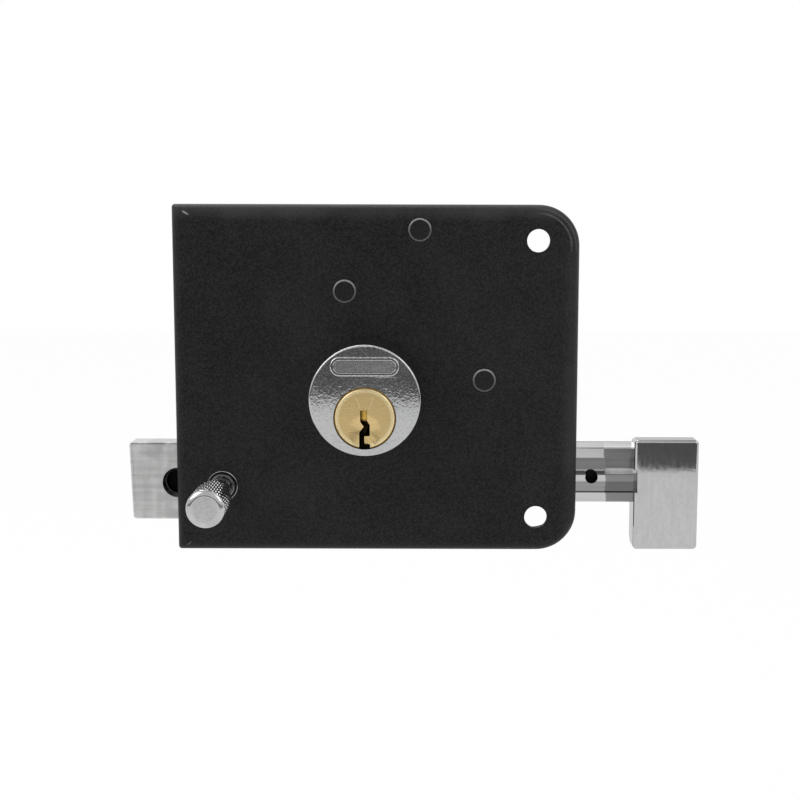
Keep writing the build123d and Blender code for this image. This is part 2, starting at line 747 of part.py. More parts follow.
# Bush and nut that carry the locking pin
with BuildPart() as bush:
    turned(pin_x, pin_z, (bush_back, bush_r), (case_depth, bush_r), (case_depth, bush_collar_r),
           (case_depth + bush_collar - bush_edge, bush_collar_r),
           (case_depth + bush_collar, bush_collar_r - bush_edge))
    bored(pin_x, pin_z, lock_pin_r + running_gap, bush_back - overcut, case_depth + bush_collar + overcut)
    bored(pin_x, pin_z, bush_mouth_r, case_depth + bush_collar - bush_mouth,
          case_depth + bush_collar + overcut)
    with BuildSketch(Plane.XY.offset(pin_z - bush_r - overcut)) as dog_hole:
        with Locations((pin_x, -dog_depth)):
            Circle(dog_r + seat_gap)
    extrude(amount=bush_r, mode=Mode.SUBTRACT)
save(bush, "bush")

with BuildPart() as bush_nut:
    with BuildSketch(layer(nut_back)) as hexagon:
        with Locations((pin_x, pin_z)):
            RegularPolygon(nut_flats / 2, 6, major_radius=False, rotation=30)
            Circle(bush_r + seat_gap, mode=Mode.SUBTRACT)
    extrude(amount=nut_height)
    with BuildSketch(Plane.XY.offset(pin_z - nut_flats)) as dog_hole:
        with Locations((pin_x, -dog_depth)):
            Circle(dog_r + seat_gap)
    extrude(amount=nut_flats, mode=Mode.SUBTRACT)
save(bush_nut, "bush_nut")

# Dog screw through nut and bush, its nose in the slot under the locking pin
dog_nose_z = pin_z - lock_pin_r + key_depth - running_gap * 2
with BuildPart() as dog_screw:
    with BuildSketch(Plane.XY.offset(dog_nose_z - dog_length)) as nose:
        with Locations((pin_x, -dog_depth)):
            Circle(dog_r)
    extrude(amount=dog_length)
save(dog_screw, "dog_screw")

# Locking pin: round, with a reduced nose for the bolt's holes, a slot underneath
# for the dog screw and a stud for the knob
with BuildPart() as locking_pin:
    turned(pin_x, pin_z, (pin_tip, lock_nose_r - lock_pin_edge), (pin_tip + lock_pin_edge, lock_nose_r),
           (pin_tip + lock_nose, lock_nose_r), (pin_tip + lock_nose + lock_nose_root, lock_pin_r),
           (knob_back, lock_pin_r), (knob_back, stud_r), (knob_back + stud_length, stud_r))
    slot_low = dog_depth - dog_r - running_gap
    slot_high = dog_depth + dog_r + running_gap + pin_travel
    block(pin_x - key_slot / 2, pin_x + key_slot / 2, pin_z - lock_pin_r - overcut,
          pin_z - lock_pin_r + key_depth, slot_low, slot_high, mode=Mode.SUBTRACT)
save(locking_pin, "locking_pin")

# Knob: turned, pressed on the stud of the locking pin
with BuildPart() as knob:
    turned(pin_x, pin_z, (knob_back, knob_r - knob_back_edge), (knob_back + knob_back_edge, knob_r),
           (knob_front - knob_chamfer, knob_r), (knob_front - knob_crown, knob_crown_r),
           (knob_front, knob_rim_r), (knob_front, knob_dish_r),
           (knob_front - knob_dish, knob_dish_r - knob_dish))
    bored(pin_x, pin_z, stud_r + seat_gap, knob_back - overcut, knob_back + stud_length + seat_gap)
save(knob, "knob")
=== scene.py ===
import math
import bmesh
import bpy
from mathutils import Matrix, Vector


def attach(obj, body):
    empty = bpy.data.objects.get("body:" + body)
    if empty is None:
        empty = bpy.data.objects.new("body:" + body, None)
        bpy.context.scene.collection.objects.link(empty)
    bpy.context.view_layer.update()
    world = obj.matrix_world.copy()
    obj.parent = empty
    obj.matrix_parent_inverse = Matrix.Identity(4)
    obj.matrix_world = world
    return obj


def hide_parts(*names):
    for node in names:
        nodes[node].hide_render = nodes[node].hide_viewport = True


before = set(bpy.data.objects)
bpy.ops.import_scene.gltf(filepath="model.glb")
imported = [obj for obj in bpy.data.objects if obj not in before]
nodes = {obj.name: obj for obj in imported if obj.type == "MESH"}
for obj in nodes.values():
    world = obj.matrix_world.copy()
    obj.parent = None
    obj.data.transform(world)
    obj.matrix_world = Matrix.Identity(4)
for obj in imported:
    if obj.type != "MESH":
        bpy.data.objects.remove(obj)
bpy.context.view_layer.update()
mm = 0.001
mergeWithin, closeWithin = 0.002 * mm, 0.0001 * mm
flatDegrees, sharpDegrees, smoothDegrees, turnedDegrees, screwDegrees = 0.5, 32, 50, 25, 30
print("frame loaded,", len(nodes), "nodes")


class Value:
    # a socket in a node tree; sums on it add Math nodes to that tree

    def __init__(self, net, socket):
        self.net = net
        self.socket = socket

    def math(self, operation, *others):
        node = self.net.tree.nodes.new("ShaderNodeMath")
        node.operation = operation
        for place, item in enumerate((self, *others)):
            self.net.plug(node.inputs[place], item)
        return Value(self.net, node.outputs[0])

    def __add__(self, other):
        return self.math("ADD", other)

    def __sub__(self, other):
        return self.math("SUBTRACT", other)

    def __mul__(self, other):
        return self.math("MULTIPLY", other)

    def __truediv__(self, other):
        return self.math("DIVIDE", other)

    def __rsub__(self, other):
        return (self * -1.0) + other

    __radd__ = __add__
    __rmul__ = __mul__

    def above(self, limit):
        return self.math("GREATER_THAN", limit)

    def below(self, limit):
        return self.math("LESS_THAN", limit)

    def most(self, other):
        return self.math("MAXIMUM", other)

    def least(self, other):
        return self.math("MINIMUM", other)

    def absolute(self):
        return self.math("ABSOLUTE")

    def sine(self):
        return self.math("SINE")

    def power(self, exponent):
        return self.math("POWER", exponent)

    def fade(self, low, high, start=0.0, end=1.0):
        # smooth step from start at low to end at high
        node = self.net.add("ShaderNodeMapRange", {"interpolation_type": "SMOOTHSTEP"},
                            {"Value": self, "From Min": low, "From Max": high,
                             "To Min": start, "To Max": end})
        return Value(self.net, node.outputs["Result"])

    def between(self, low, high, soft):
        # 1 from low to high, softened on both sides
        return self.fade(low - soft, low + soft) * (1.0 - self.fade(high - soft, high + soft))


class Net:
    # adds nodes to one tree

    def __init__(self, tree):
        self.tree = tree

    def plug(self, socket, item):
        if isinstance(item, Value):
            item = item.socket
        if isinstance(item, (list, tuple)) and item and isinstance(item[0], bpy.types.NodeSocket):
            for one in reversed(item):
                self.tree.links.new(one, socket)
        elif isinstance(item, bpy.types.NodeSocket):
            self.tree.links.new(item, socket)
        else:
            socket.default_value = item

    def add(self, kind, settings=None, inputs=None):
        node = self.tree.nodes.new(kind)
        for key, setting in (settings or {}).items():
            setattr(node, key, setting)
        for key, item in (inputs or {}).items():
            self.plug(node.inputs[key], item)
        return node

    def value(self, kind, settings=None, inputs=None, output=0):
        return Value(self, self.add(kind, settings, inputs).outputs[output])

    def vector(self, x=0.0, y=0.0, z=0.0):
        return self.add("ShaderNodeCombineXYZ", {}, {"X": x, "Y": y, "Z": z}).outputs[0]

    def seen(self):
        # 1 for what the camera, metal and glass see, 0 for soft light
        rays = self.add("ShaderNodeLightPath").outputs
        return (Value(self, rays["Is Camera Ray"]) + Value(self, rays["Is Glossy Ray"])
                + Value(self, rays["Is Transmission Ray"])).least(1.0)


class Finish(Net):
    # a material that reads Object coordinates; its settings give sizes in mm, scales per metre

    def __init__(self, name, settings):
        self.settings = settings
        self.material = bpy.data.materials.new(name)
        self.material.use_nodes = True
        super().__init__(self.material.node_tree)
        self.shader = self.tree.nodes["Principled BSDF"]
        self.place = self.add("ShaderNodeTexCoord").outputs["Object"]
        for key in ("Metallic", "Roughness", "Specular IOR Level"):
            if key in settings:
                self.shader.inputs[key].default_value = settings[key]

    def metres(self, key):
        # one setting as metres; a band is given as low, high and how soft its ends are
        return [size * mm for size in self.settings[key]]

    def tone(self, factor, warmth=0.0):
        # the finish's own grey, lighter or darker
        return grey(self.settings["colour"] * factor, warmth)

    def rough(self, pattern, low, high, least, most):
        # roughness that follows a pattern, from least to most past the finish's own
        own = self.settings["Roughness"]
        return pattern.fade(low, high, own + least, own + most)

    def moved(self, turn=(0, 0, 0), stretch=(1, 1, 1), shift=(0, 0, 0)):
        node = self.add("ShaderNodeMapping", {}, {"Vector": self.place, "Rotation": turn,
                                                  "Scale": stretch, "Location": shift})
        return node.outputs["Vector"]

    def noise(self, scale, detail=2.0, place=None, roughness=0.5, distortion=0.0):
        return self.value("ShaderNodeTexNoise", {}, {
            "Vector": place or self.place, "Scale": scale, "Detail": detail,
            "Roughness": roughness, "Distortion": distortion}, "Fac")

    def cells(self, scale, output="Distance"):
        return self.value("ShaderNodeTexVoronoi", {}, {"Vector": self.place, "Scale": scale}, output)

    def specks(self, scale, low, high, limit):
        # a soft dot in each cell whose random shade is above the limit
        return (1.0 - self.cells(scale).fade(low, high)) * self.cells(scale, "Color").above(limit)

    def axes(self, place=None):
        split = self.add("ShaderNodeSeparateXYZ", {}, {"Vector": place or self.place})
        return [Value(self, split.outputs[axis]) for axis in "XYZ"]

    def reach(self, x, z):
        # distance from a line square to the door face
        across, depth, height = self.axes()
        dx, dz = across - x, height - z
        return (dx * dx + dz * dz).power(0.5)

    def blendColour(self, share, first, second):
        node = self.add("ShaderNodeMix", {"data_type": "RGBA"}, {"Factor": share})
        # 6, 7 and output 2 are the colour sockets of this node
        self.plug(node.inputs[6], first)
        self.plug(node.inputs[7], second)
        return node.outputs[2]

    def bump(self, height, key, strength, under=None):
        # relief as deep as the named setting
        inputs = {"Height": height, "Distance": self.settings[key], "Strength": strength}
        if under is not None:
            inputs["Normal"] = under
        return self.add("ShaderNodeBump", {}, inputs).outputs["Normal"]

    def scratches(self, turns, share=0.55, thinness=0.05, key="scratch"):
        # sparse hairlines along a few directions, 0 to 1
        scale, total = self.settings[key], None
        for number, turn in enumerate(turns):
            lines = self.noise(scale, 1.0, self.moved((0.3 * number, turn, 0.2 * number),
                                                      (thinness, 1, 1), (0.37 * number, 0, 0.11)))
            patch = self.noise(scale * 0.09, 1.0, self.moved((0, turn, 0), (1, 1, 1), (number, 0, 0)))
            line = (1.0 - (lines - 0.5).absolute().fade(0.0, 0.012)) * patch.fade(share, share + 0.12)
            total = line if total is None else total.most(line)
        return total

    def finish(self, colour, roughness, normal, metallic=None):
        for key, item in (("Base Color", colour), ("Roughness", roughness), ("Normal", normal),
                          ("Metallic", metallic)):
            if item is not None:
                self.plug(self.shader.inputs[key], item)
        return self.material


class Recipe(Net):
    # a Geometry Nodes tree with named sizes, ending in one material

    kinds = {float: "NodeSocketFloat", int: "NodeSocketInt"}

    def __init__(self, name, sizes):
        super().__init__(bpy.data.node_groups.new(name, "GeometryNodeTree"))
        face = self.tree.interface
        face.new_socket("Geometry", in_out="INPUT", socket_type="NodeSocketGeometry")
        for key, size in sizes.items():
            face.new_socket(key, in_out="INPUT", socket_type=self.kinds[type(size)])
        face.new_socket("Material", in_out="INPUT", socket_type="NodeSocketMaterial")
        face.new_socket("Geometry", in_out="OUTPUT", socket_type="NodeSocketGeometry")
        self.given = self.add("NodeGroupInput")
        self.sizes = sizes

    def size(self, key):
        return Value(self, self.given.outputs[key])

    def done(self, shape):
        whole = self.add("GeometryNodeRealizeInstances", {}, {"Geometry": shape})
        dressed = self.add("GeometryNodeSetMaterial", {}, {
            "Geometry": whole.outputs[0], "Material": self.given.outputs["Material"]})
        self.plug(self.add("NodeGroupOutput").inputs[0], dressed.outputs[0])

    def grow(self, name, material, points=(), changes={}):
        # one plain mesh from this tree, on points given in metres
        mesh = bpy.data.meshes.new(name)
        mesh.from_pydata(points, [], [])
        piece = newObject(name, mesh)
        maker = piece.modifiers.new(name, "NODES")
        maker.node_group = self.tree
        known = {item.name: item.identifier for item in self.tree.interface.items_tree
                 if item.in_out == "INPUT"}
        for key, size in {**self.sizes, **changes}.items():
            maker[known[key]] = size
        maker[known["Material"]] = material
        return settle(piece)


def grey(level, warmth=0.0):
    return (level * (1 + warmth), level, level * (1 - warmth), 1.0)


def newObject(name, mesh):
    piece = bpy.data.objects.new(name, mesh)
    bpy.context.scene.collection.objects.link(piece)
    return piece


def soften(piece, degrees):
    # smooth shading with hard edges kept where the surface turns by more
    mesh = piece.data
    mesh.polygons.foreach_set("use_smooth", [True] * len(mesh.polygons))
    mesh.set_sharp_from_angle(angle=math.radians(degrees))
    return piece


def settle(piece):
    # turns the modifiers into plain mesh
    bpy.context.view_layer.update()
    made = bpy.data.meshes.new_from_object(piece.evaluated_get(bpy.context.evaluated_depsgraph_get()))
    piece.modifiers.clear()
    piece.data = made
    return piece


def fromShape(name, shape):
    # an object from an edited mesh
    mesh = bpy.data.meshes.new(name)
    shape.to_mesh(mesh)
    shape.free()
    return newObject(name, mesh)


def lathe(name, centre, profile, steps):
    # a closed turned mesh about a line square to the door face, from (depth, radius) pairs in mm
    shape = bmesh.new()
    rings = []
    for depth, radius in profile:
        if radius == 0:
            rings.append([shape.verts.new((centre[0] * mm, -depth * mm, centre[1] * mm))])
            continue
        ring = []
        for step in range(steps):
            angle = 2 * math.pi * step / steps
            ring.append(shape.verts.new(((centre[0] + radius * math.cos(angle)) * mm, -depth * mm,
                                         (centre[1] + radius * math.sin(angle)) * mm)))
        rings.append(ring)
    for low, high in zip(rings, rings[1:]):
        for step in range(steps):
            after = (step + 1) % steps
            corners = [low[step % len(low)], low[after % len(low)],
                       high[after % len(high)], high[step % len(high)]]
            corners = [corner for place, corner in enumerate(corners) if corner not in corners[:place]]
            if len(corners) > 2:
                shape.faces.new(corners)
    bmesh.ops.remove_doubles(shape, verts=shape.verts, dist=closeWithin)
    bmesh.ops.recalc_face_normals(shape, faces=shape.faces)
    return soften(fromShape(name, shape), turnedDegrees)


def joined(name, *pieces):
    # several meshes as one
    shape = bmesh.new()
    for piece in pieces:
        shape.from_mesh(piece.data)
        bpy.data.objects.remove(piece)
    return fromShape(name, shape)


def putOn(piece, body, slot, material, *replaced):
    piece.data.materials.clear()
    piece.data.materials.append(material)
    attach(piece, body)
    if replaced:
        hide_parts(*replaced)


def easedPiece(shape, body, slot, material):
    # a CAD node's form with small rounded edges: doubles merged, flat faces joined up, edges bevelled
    clean = bmesh.new()
    clean.from_mesh(nodes[shape["node"]].data)
    bmesh.ops.remove_doubles(clean, verts=clean.verts, dist=mergeWithin)
    bmesh.ops.dissolve_limit(clean, angle_limit=math.radians(flatDegrees), verts=clean.verts,
                             edges=clean.edges)
    piece = fromShape(shape["name"], clean)
    bevel = piece.modifiers.new("edges", "BEVEL")
    bevel.width = shape["edge"] * mm
    bevel.segments = 2
    bevel.limit_method = "ANGLE"
    bevel.angle_limit = math.radians(shape.get("sharp", sharpDegrees))
    soften(settle(piece), smoothDegrees)
    piece.modifiers.new("normals", "WEIGHTED_NORMAL").keep_sharp = True
    putOn(settle(piece), body, slot, material, shape["node"])


def paint(material, *names):
    # CAD nodes that keep their own meshes
    for name in names:
        mesh = nodes[name].data
        mesh.materials.clear()
        mesh.materials.append(material)


# the photograph's viewpoint: slightly right of the middle, looking a little down
view = {"place": (0.0180, -0.4509, 0.0523), "pitchDown": 7.77, "roll": 0.146,
        "lens": 65.1, "sensor": 36.0, "shift": -0.0458, "near": 0.01}
camera = bpy.data.cameras.new("camera")
camera.lens = view["lens"]
camera.sensor_width = view["sensor"]
camera.shift_x = view["shift"]
camera.clip_start = view["near"]
cameraObject = bpy.data.objects.new("camera", camera)
cameraObject.matrix_world = (Matrix.Translation(view["place"])
                             @ Matrix.Rotation(math.radians(90 - view["pitchDown"]), 4, "X")
                             @ Matrix.Rotation(math.radians(view["roll"]), 4, "Z"))
bpy.context.scene.collection.objects.link(cameraObject)
bpy.context.scene.camera = cameraObject
bpy.context.scene.view_settings.view_transform = "Standard"
print("camera set")


# a pale floor well below the lock; its front edge, out of view, is what the flat metal mirrors
studio = {"floorHeight": -0.25, "floorNear": -1.87, "floorStepX": 0.25, "floorNearRight": -1.22,
          "floorFar": 3.0, "floorSide": 3.0, "floorColour": 0.85, "floorWhite": 0.96,
          "roomDiffuse": 0.78, "roomDark": 0.14, "darkTop": 0.5, "darkSoft": 0.05, "frontHigh": 0.82,
          "frontFrom": (0.05, 0.45), "ceiling": 0.28, "ceilingFrom": 70.0, "ceilingSoft": 0.03,
          "lamps": (("overhead", (-0.32, 0.45, 1.15), 1.0, 7.0),
                    ("frontLeft", (-0.95, -0.85, 0.75), 0.9, 4.5),
                    ("frontRight", (0.95, -0.80, 0.65), 0.7, 1.8))}

side, far, near = studio["floorSide"], studio["floorFar"], studio["floorNear"]
stepX, nearRight = studio["floorStepX"], studio["floorNearRight"]
outline = [(-side, far), (-side, near), (stepX, near), (stepX, nearRight), (side, nearRight), (side, far)]
floorMesh = bpy.data.meshes.new("floor")
floorMesh.from_pydata([(x, y, studio["floorHeight"]) for x, y in outline], [], [range(len(outline))])
floor = newObject("floor", floorMesh)
floorPaper = bpy.data.materials.new("floorPaper")
floorPaper.use_nodes = True
paper = Net(floorPaper.node_tree)
paper.tree.nodes.remove(paper.tree.nodes["Principled BSDF"])
floorMesh.materials.append(floorPaper)
matte = paper.add("ShaderNodeBsdfDiffuse", {}, {"Color": grey(studio["floorColour"])})
white = paper.add("ShaderNodeEmission", {}, {"Color": grey(1.0), "Strength": 1.0})
mixed = paper.add("ShaderNodeMixShader", {}, {0: paper.seen() * studio["floorWhite"],
                                              1: matte.outputs[0], 2: white.outputs[0]})
paper.plug(paper.tree.nodes["Material Output"].inputs["Surface"], mixed.outputs[0])

# the room: even and white behind the lock, dark low down in front of it, dim overhead
world = bpy.data.worlds.new("room")
bpy.context.scene.world = world
world.use_nodes = True
sky = Net(world.node_tree)
split = sky.add("ShaderNodeSeparateXYZ", {}, {
    "Vector": sky.add("ShaderNodeTexCoord").outputs["Generated"]})
ahead, height = Value(sky, split.outputs["Y"]) * -1.0, Value(sky, split.outputs["Z"])
backLevel = sky.seen().fade(0.0, 1.0, studio["roomDiffuse"], 1.0)
darkTop, ceilingFrom = (math.sin(math.radians(studio[key])) for key in ("darkTop", "ceilingFrom"))
frontLevel = height.fade(darkTop - studio["darkSoft"], darkTop + studio["darkSoft"],
                         studio["roomDark"], studio["frontHigh"])
inFront = ahead.fade(*studio["frontFrom"])
around = frontLevel * inFront + backLevel * (1.0 - inFront)
over = height.fade(ceilingFrom - studio["ceilingSoft"], ceilingFrom + studio["ceilingSoft"])
level = around * (1.0 - over) + over * studio["ceiling"]
background = sky.tree.nodes["Background"]
sky.plug(background.inputs["Strength"], level)
sky.plug(background.inputs["Color"], grey(1.0))

for name, place, size, power in studio["lamps"]:
    lamp = bpy.data.lights.new(name, "AREA")
    lamp.shape = "SQUARE"
    lamp.size = size
    lamp.energy = power
    lampObject = bpy.data.objects.new(name, lamp)
    lampObject.location = place
    lampObject.rotation_euler = (Vector((0, 0, 0)) - Vector(place)).to_track_quat("-Z", "Y").to_euler()
    bpy.context.scene.collection.objects.link(lampObject)
print("studio set")


# finishes: noise scales are per metre, depths in metres, places and other sizes in mm
coat = {"Roughness": 0.46, "Specular IOR Level": 0.19, "colour": 0.0056, "grain": 2500.0,
        "pebble": 1300.0, "mottle": 70.0, "cloud": 14.0, "dust": 230.0, "grainDepth": 0.00013,
        "mottleDepth": 0.00006, "topShine": (46.4, 49.5), "sideShine": (54.0, 58.5), "rings": (),
        "ring": (2.95, 3.42, 0.1), "corner": (47.7, 39.45), "cornerAcross": (-2.0, 4.0),
        "cornerUp": (-3.0, 2.0), "highlightArcs": ((9.6, 10.0, 0.2), (11.0, 11.25, 0.2))}


def blackCoat(name, settings, seams=()):
    # powder coat: pebble grain, slow mottle, dust, a painted sheen on the top and right bends, painted
    # highlight arcs at the upper right corner, painted highlights on the mitres at the seams, painted
    # highlight rings on the posts
    make = Finish(name, settings)
    across, depth, height = make.axes()
    grain = make.noise(settings["grain"], 3.0)
    pebble = make.cells(settings["pebble"])
    mottle = make.noise(settings["mottle"], 5.0)
    cloud = make.noise(settings["cloud"], 2.0)
    tone = mottle.fade(0.35, 0.7) * 0.2 + cloud.fade(0.3, 0.7) * 0.15 + grain.fade(0.42, 0.6) * 0.65
    colour = make.blendColour(tone, make.tone(0.05), make.tone(3.4))
    colour = make.blendColour(make.specks(settings["dust"], 0.02, 0.05, 0.985), colour, grey(0.16))
    # painted sheen: the top and right bends lighter, as where they catch the light
    paintedSheen = (height.fade(*make.metres("topShine")) * 0.8).most(across.fade(*make.metres("sideShine")) * 0.6)
    colour = make.blendColour(paintedSheen * (0.5 + mottle.fade(0.4, 0.65) * 0.5), colour, grey(0.036))
    cornerX, cornerZ = make.metres("corner")
    quarter = ((across - cornerX).fade(*make.metres("cornerAcross"))
               * (height - cornerZ).fade(*make.metres("cornerUp")))
    # painted highlight: light arcs round the bend at the upper right corner
    for band in settings["highlightArcs"]:
        streak = make.reach(cornerX, cornerZ).between(*(size * mm for size in band)) * quarter
        colour = make.blendColour(streak * (0.35 + grain.fade(0.3, 0.6) * 0.5), colour, grey(0.11))
    roughness = make.rough(mottle, 0.3, 0.7, -0.05, 0.06)
    # painted highlight: a lighter, smoother spot on each mitre seam
    for seam in seams:
        along, through, beside = make.axes(make.moved((0, seam["turn"], 0), shift=seam["shift"]))
        spot = (((along / (seam["length"] * mm)).power(2.0) + (beside / (seam["width"] * mm)).power(2.0))
                .fade(0.35, 1.0, 1.0, 0.0))
        colour = make.blendColour(spot * seam["bright"], colour, grey(0.24))
        roughness = roughness - spot * 0.2
    for x, z in settings["rings"]:
        paintedRing = make.reach(x * mm, z * mm).between(*make.metres("ring"))
        # a painted highlight round each post end, brighter above the post's middle
        upper = (height - z * mm).fade(-1.0 * mm, 3.2 * mm, 0.35, 1.0)
        paintedRing = paintedRing * upper * grain.fade(0.3, 0.55, 0.4, 1.0)
        colour = make.blendColour(paintedRing, colour, grey(0.3))
        roughness = roughness - paintedRing * 0.12
    normal = make.bump(grain + pebble * 0.6, "grainDepth", 0.8, make.bump(mottle, "mottleDepth", 0.3))
    return make.finish(colour, roughness, normal)


chrome = {"Metallic": 1.0, "Roughness": 0.05, "colour": 0.55, "haze": 55.0, "fine": 900.0,
          "fineDepth": 0.000004, "scratch": 420.0, "scratchDepth": 0.000008, "shadeRing": None}


def polishedChrome(name, settings):
    # polished plating: haze, hairlines and, where the ring setting gives x, z and a band of radii, a dark
    # ring of painted shade
    make = Finish(name, settings)
    haze = make.noise(settings["haze"], 4.0)
    fine = make.noise(settings["fine"], 2.0)
    lines = make.scratches((0.35, 1.25, 2.3), thinness=0.045)
    colour = make.blendColour(haze.fade(0.3, 0.7), make.tone(0.95, -0.006), make.tone(1.03, -0.004))
    colour = make.blendColour(lines * 0.35, colour, make.tone(0.7))
    if settings["shadeRing"]:
        x, z, *band = make.metres("shadeRing")
        # painted shade: a dark ring on the bush's collar
        colour = make.blendColour(make.reach(x, z).between(*band) * 0.95, colour, grey(0.015))
    roughness = make.rough(haze, 0.3, 0.75, 0.0, 0.06) + lines * 0.12
    normal = make.bump(fine, "fineDepth", 0.4, make.bump(lines, "scratchDepth", 0.5))
    return make.finish(colour, roughness, normal)


face = {"Metallic": 1.0, "Roughness": 0.03, "colour": 0.48, "haze": 60.0, "peel": 1500.0,
        "peelDepth": 0.0000075, "waves": 260.0, "wavesDepth": 0.000004, "sparkle": 2100.0,
        "sparkleRise": (-3.0, 3.0), "stipple": 2600.0, "stippleDepth": 0.00002, "pits": 420.0,
        "scratch": 420.0, "scratchDepth": 0.00001, "deepScratch": 150.0, "frontTo": -52.95,
        "badge": (-2.0, 7.25), "badgeHalf": 6.9, "badgeEdge": (1.7, 1.85), "nick": (0.8, 12.4),
        "nickEdge": (0.12, 0.34)}


def barrelFace(name, settings):
    # cast and chromed: orange peel, painted glints on the upper face, a stippled badge, a nick at the rim
    make = Finish(name, settings)
    across, depth, height = make.axes()
    haze = make.noise(settings["haze"], 4.0)
    peel = make.noise(settings["peel"], 1.5, None, 0.7)
    waves = make.noise(settings["waves"], 2.0)
    stipple = make.cells(settings["stipple"])
    lines = make.scratches((0.35, 1.25, 2.3), 0.6, 0.045)
    deep = make.scratches((2.7,), 0.66, 0.03, "deepScratch")
    pits = make.specks(settings["pits"], 0.03, 0.09, 0.9)
    onFace = depth.below(settings["frontTo"] * mm)
    badgeX, badgeZ = make.metres("badge")
    beyond, above = ((across - badgeX).absolute() - settings["badgeHalf"] * mm).most(0.0), height - badgeZ
    badgeReach = (beyond * beyond + above * above).power(0.5)
    ground = badgeReach.fade(*make.metres("badgeEdge"), 1.0, 0.0) * onFace
    nick = make.reach(*make.metres("nick")).fade(*make.metres("nickEdge"), 1.0, 0.0) * onFace
    # painted glints: bright flecks, more of them towards the top of the face
    sparkle = (make.noise(settings["sparkle"], 2.0).fade(0.46, 0.62)
               * height.fade(*make.metres("sparkleRise"), 0.05, 0.54) * onFace)
    colour = make.blendColour(haze.fade(0.3, 0.7), make.tone(0.94, -0.006), make.tone(1.03, -0.004))
    colour = make.blendColour(peel.fade(0.52, 0.68) * 0.3, colour, make.tone(0.55))
    colour = make.blendColour(sparkle, colour, grey(0.95))
    colour = make.blendColour(ground * (0.5 + stipple.fade(0.1, 0.5) * 0.35), colour, make.tone(0.4))
    colour = make.blendColour(lines * 0.35, colour, make.tone(0.7))
    colour = make.blendColour(nick.most(pits * 0.6), colour, grey(0.08))
    roughness = make.rough(haze, 0.3, 0.75, 0.0, 0.03) + lines * 0.1 + ground * 0.2 + deep * 0.1
    normal = make.bump(lines.most(deep) * -1.0, "scratchDepth", 0.6)
    normal = make.bump(waves, "wavesDepth", 0.35, normal)
    normal = make.bump(peel, "peelDepth", 0.75, normal)
    normal = make.bump(stipple * ground, "stippleDepth", 0.6, normal)
    return make.finish(colour, roughness, normal)


satin = {"Metallic": 1.0, "Roughness": 0.34, "colour": 0.62, "stretch": (1, 1, 0.06), "brush": 700.0,
         "haze": 38.0, "scratch": 300.0, "scratchDepth": 0.00001, "depth": 0.000006}


def satinMetal(name, settings):
    # brushed along one way and more faintly across it
    make = Finish(name, settings)
    brush = make.noise(settings["brush"], 3.0, make.moved(stretch=settings["stretch"]))
    cross = make.noise(settings["brush"] * 0.6, 2.0, make.moved((0, 0.5, 0), settings["stretch"][::-1]))
    haze = make.noise(settings["haze"], 4.0)
    lines = make.scratches((0.1, 1.5, 2.6), 0.6)
    tone = brush * 0.45 + cross * 0.2 + haze * 0.35
    colour = make.blendColour(tone.fade(0.35, 0.65), make.tone(0.92, 0.004), make.tone(1.06, 0.004))
    colour = make.blendColour(lines * 0.4, colour, make.tone(0.72))
    roughness = make.rough(tone, 0.3, 0.7, -0.05, 0.07) + lines * 0.08
    normal = make.bump(brush, "depth", 0.6, make.bump(lines, "scratchDepth", 0.5))
    return make.finish(colour, roughness, normal)


boltSkin = dict(satin, colour=0.56, Roughness=0.3, stretch=(0.08, 1, 1), upright=420.0,
                uprightStretch=(1, 1, 0.12), haze=70.0, patch=160.0, scratch=260.0, depth=0.000008,
                scratchDepth=0.00002, holes=(-46.1, -60.5, -28.7), holeZ=-32.0, boreRadius=3.88,
                boreFrom=-19.15, deepRadius=3.78, mouth=(4.04, 4.55, 0.05), mouthTo=-18.6,
                boreRing=(-18.0, -16.8, 0.15), rimFrom=-20.3, rimTo=-19.0)


def boltNickel(name, settings):
    # satin nickel: cross brushed, rubbed patches, painted shade in the hole mouths and bores with a painted
    # highlight ring inside
    make = Finish(name, settings)
    across, depth, height = make.axes()
    brush = make.noise(settings["brush"], 4.0, make.moved(stretch=settings["stretch"]))
    upright = make.noise(settings["upright"], 3.0, make.moved(stretch=settings["uprightStretch"]))
    haze = make.noise(settings["haze"], 5.0, None, 0.65)
    patch = make.noise(settings["patch"], 3.0)
    lines = make.scratches((0.05, 1.5, 3.0), 0.55)
    tone = brush * 0.35 + upright * 0.25 + haze * 0.4
    colour = make.blendColour(tone.fade(0.38, 0.62), make.tone(0.78, 0.006), make.tone(1.12, 0.004))
    colour = make.blendColour(patch.fade(0.52, 0.66) * 0.55, colour, make.tone(0.72))
    colour = make.blendColour(lines * 0.4, colour, make.tone(0.66))
    # how far the nearest hole's middle is
    away = make.reach(settings["holes"][0] * mm, settings["holeZ"] * mm)
    for holeX in settings["holes"][1:]:
        away = away.least(make.reach(holeX * mm, settings["holeZ"] * mm))
    # painted shade: dark rings at the hole mouths and nearly black bores; a painted highlight ring inside
    # the bores
    bore = away.below(settings["boreRadius"] * mm) * depth.above(settings["boreFrom"] * mm)
    bore = bore.most(away.below(settings["deepRadius"] * mm))
    mouth = away.between(*make.metres("mouth")) * depth.below(settings["mouthTo"] * mm)
    colour = make.blendColour(mouth, colour, grey(0.05))
    colour = make.blendColour(bore, colour, grey(0.012))
    colour = make.blendColour(bore * depth.between(*make.metres("boreRing")), colour, grey(0.9))
    # painted shade along the bolt's top edge, mottled by the patches
    rim = height.above(settings["rimFrom"] * mm) * depth.below(settings["rimTo"] * mm)
    colour = make.blendColour(rim * (0.4 + patch.fade(0.4, 0.6) * 0.4), colour, grey(0.12))
    roughness = make.rough(tone, 0.3, 0.7, -0.06, 0.08) + lines * 0.08 + bore * 0.3
    wear = make.bump(lines.most(patch.fade(0.6, 0.72)) * -1.0, "scratchDepth", 0.5)
    return make.finish(colour, roughness, make.bump(brush, "depth", 0.6, wear))


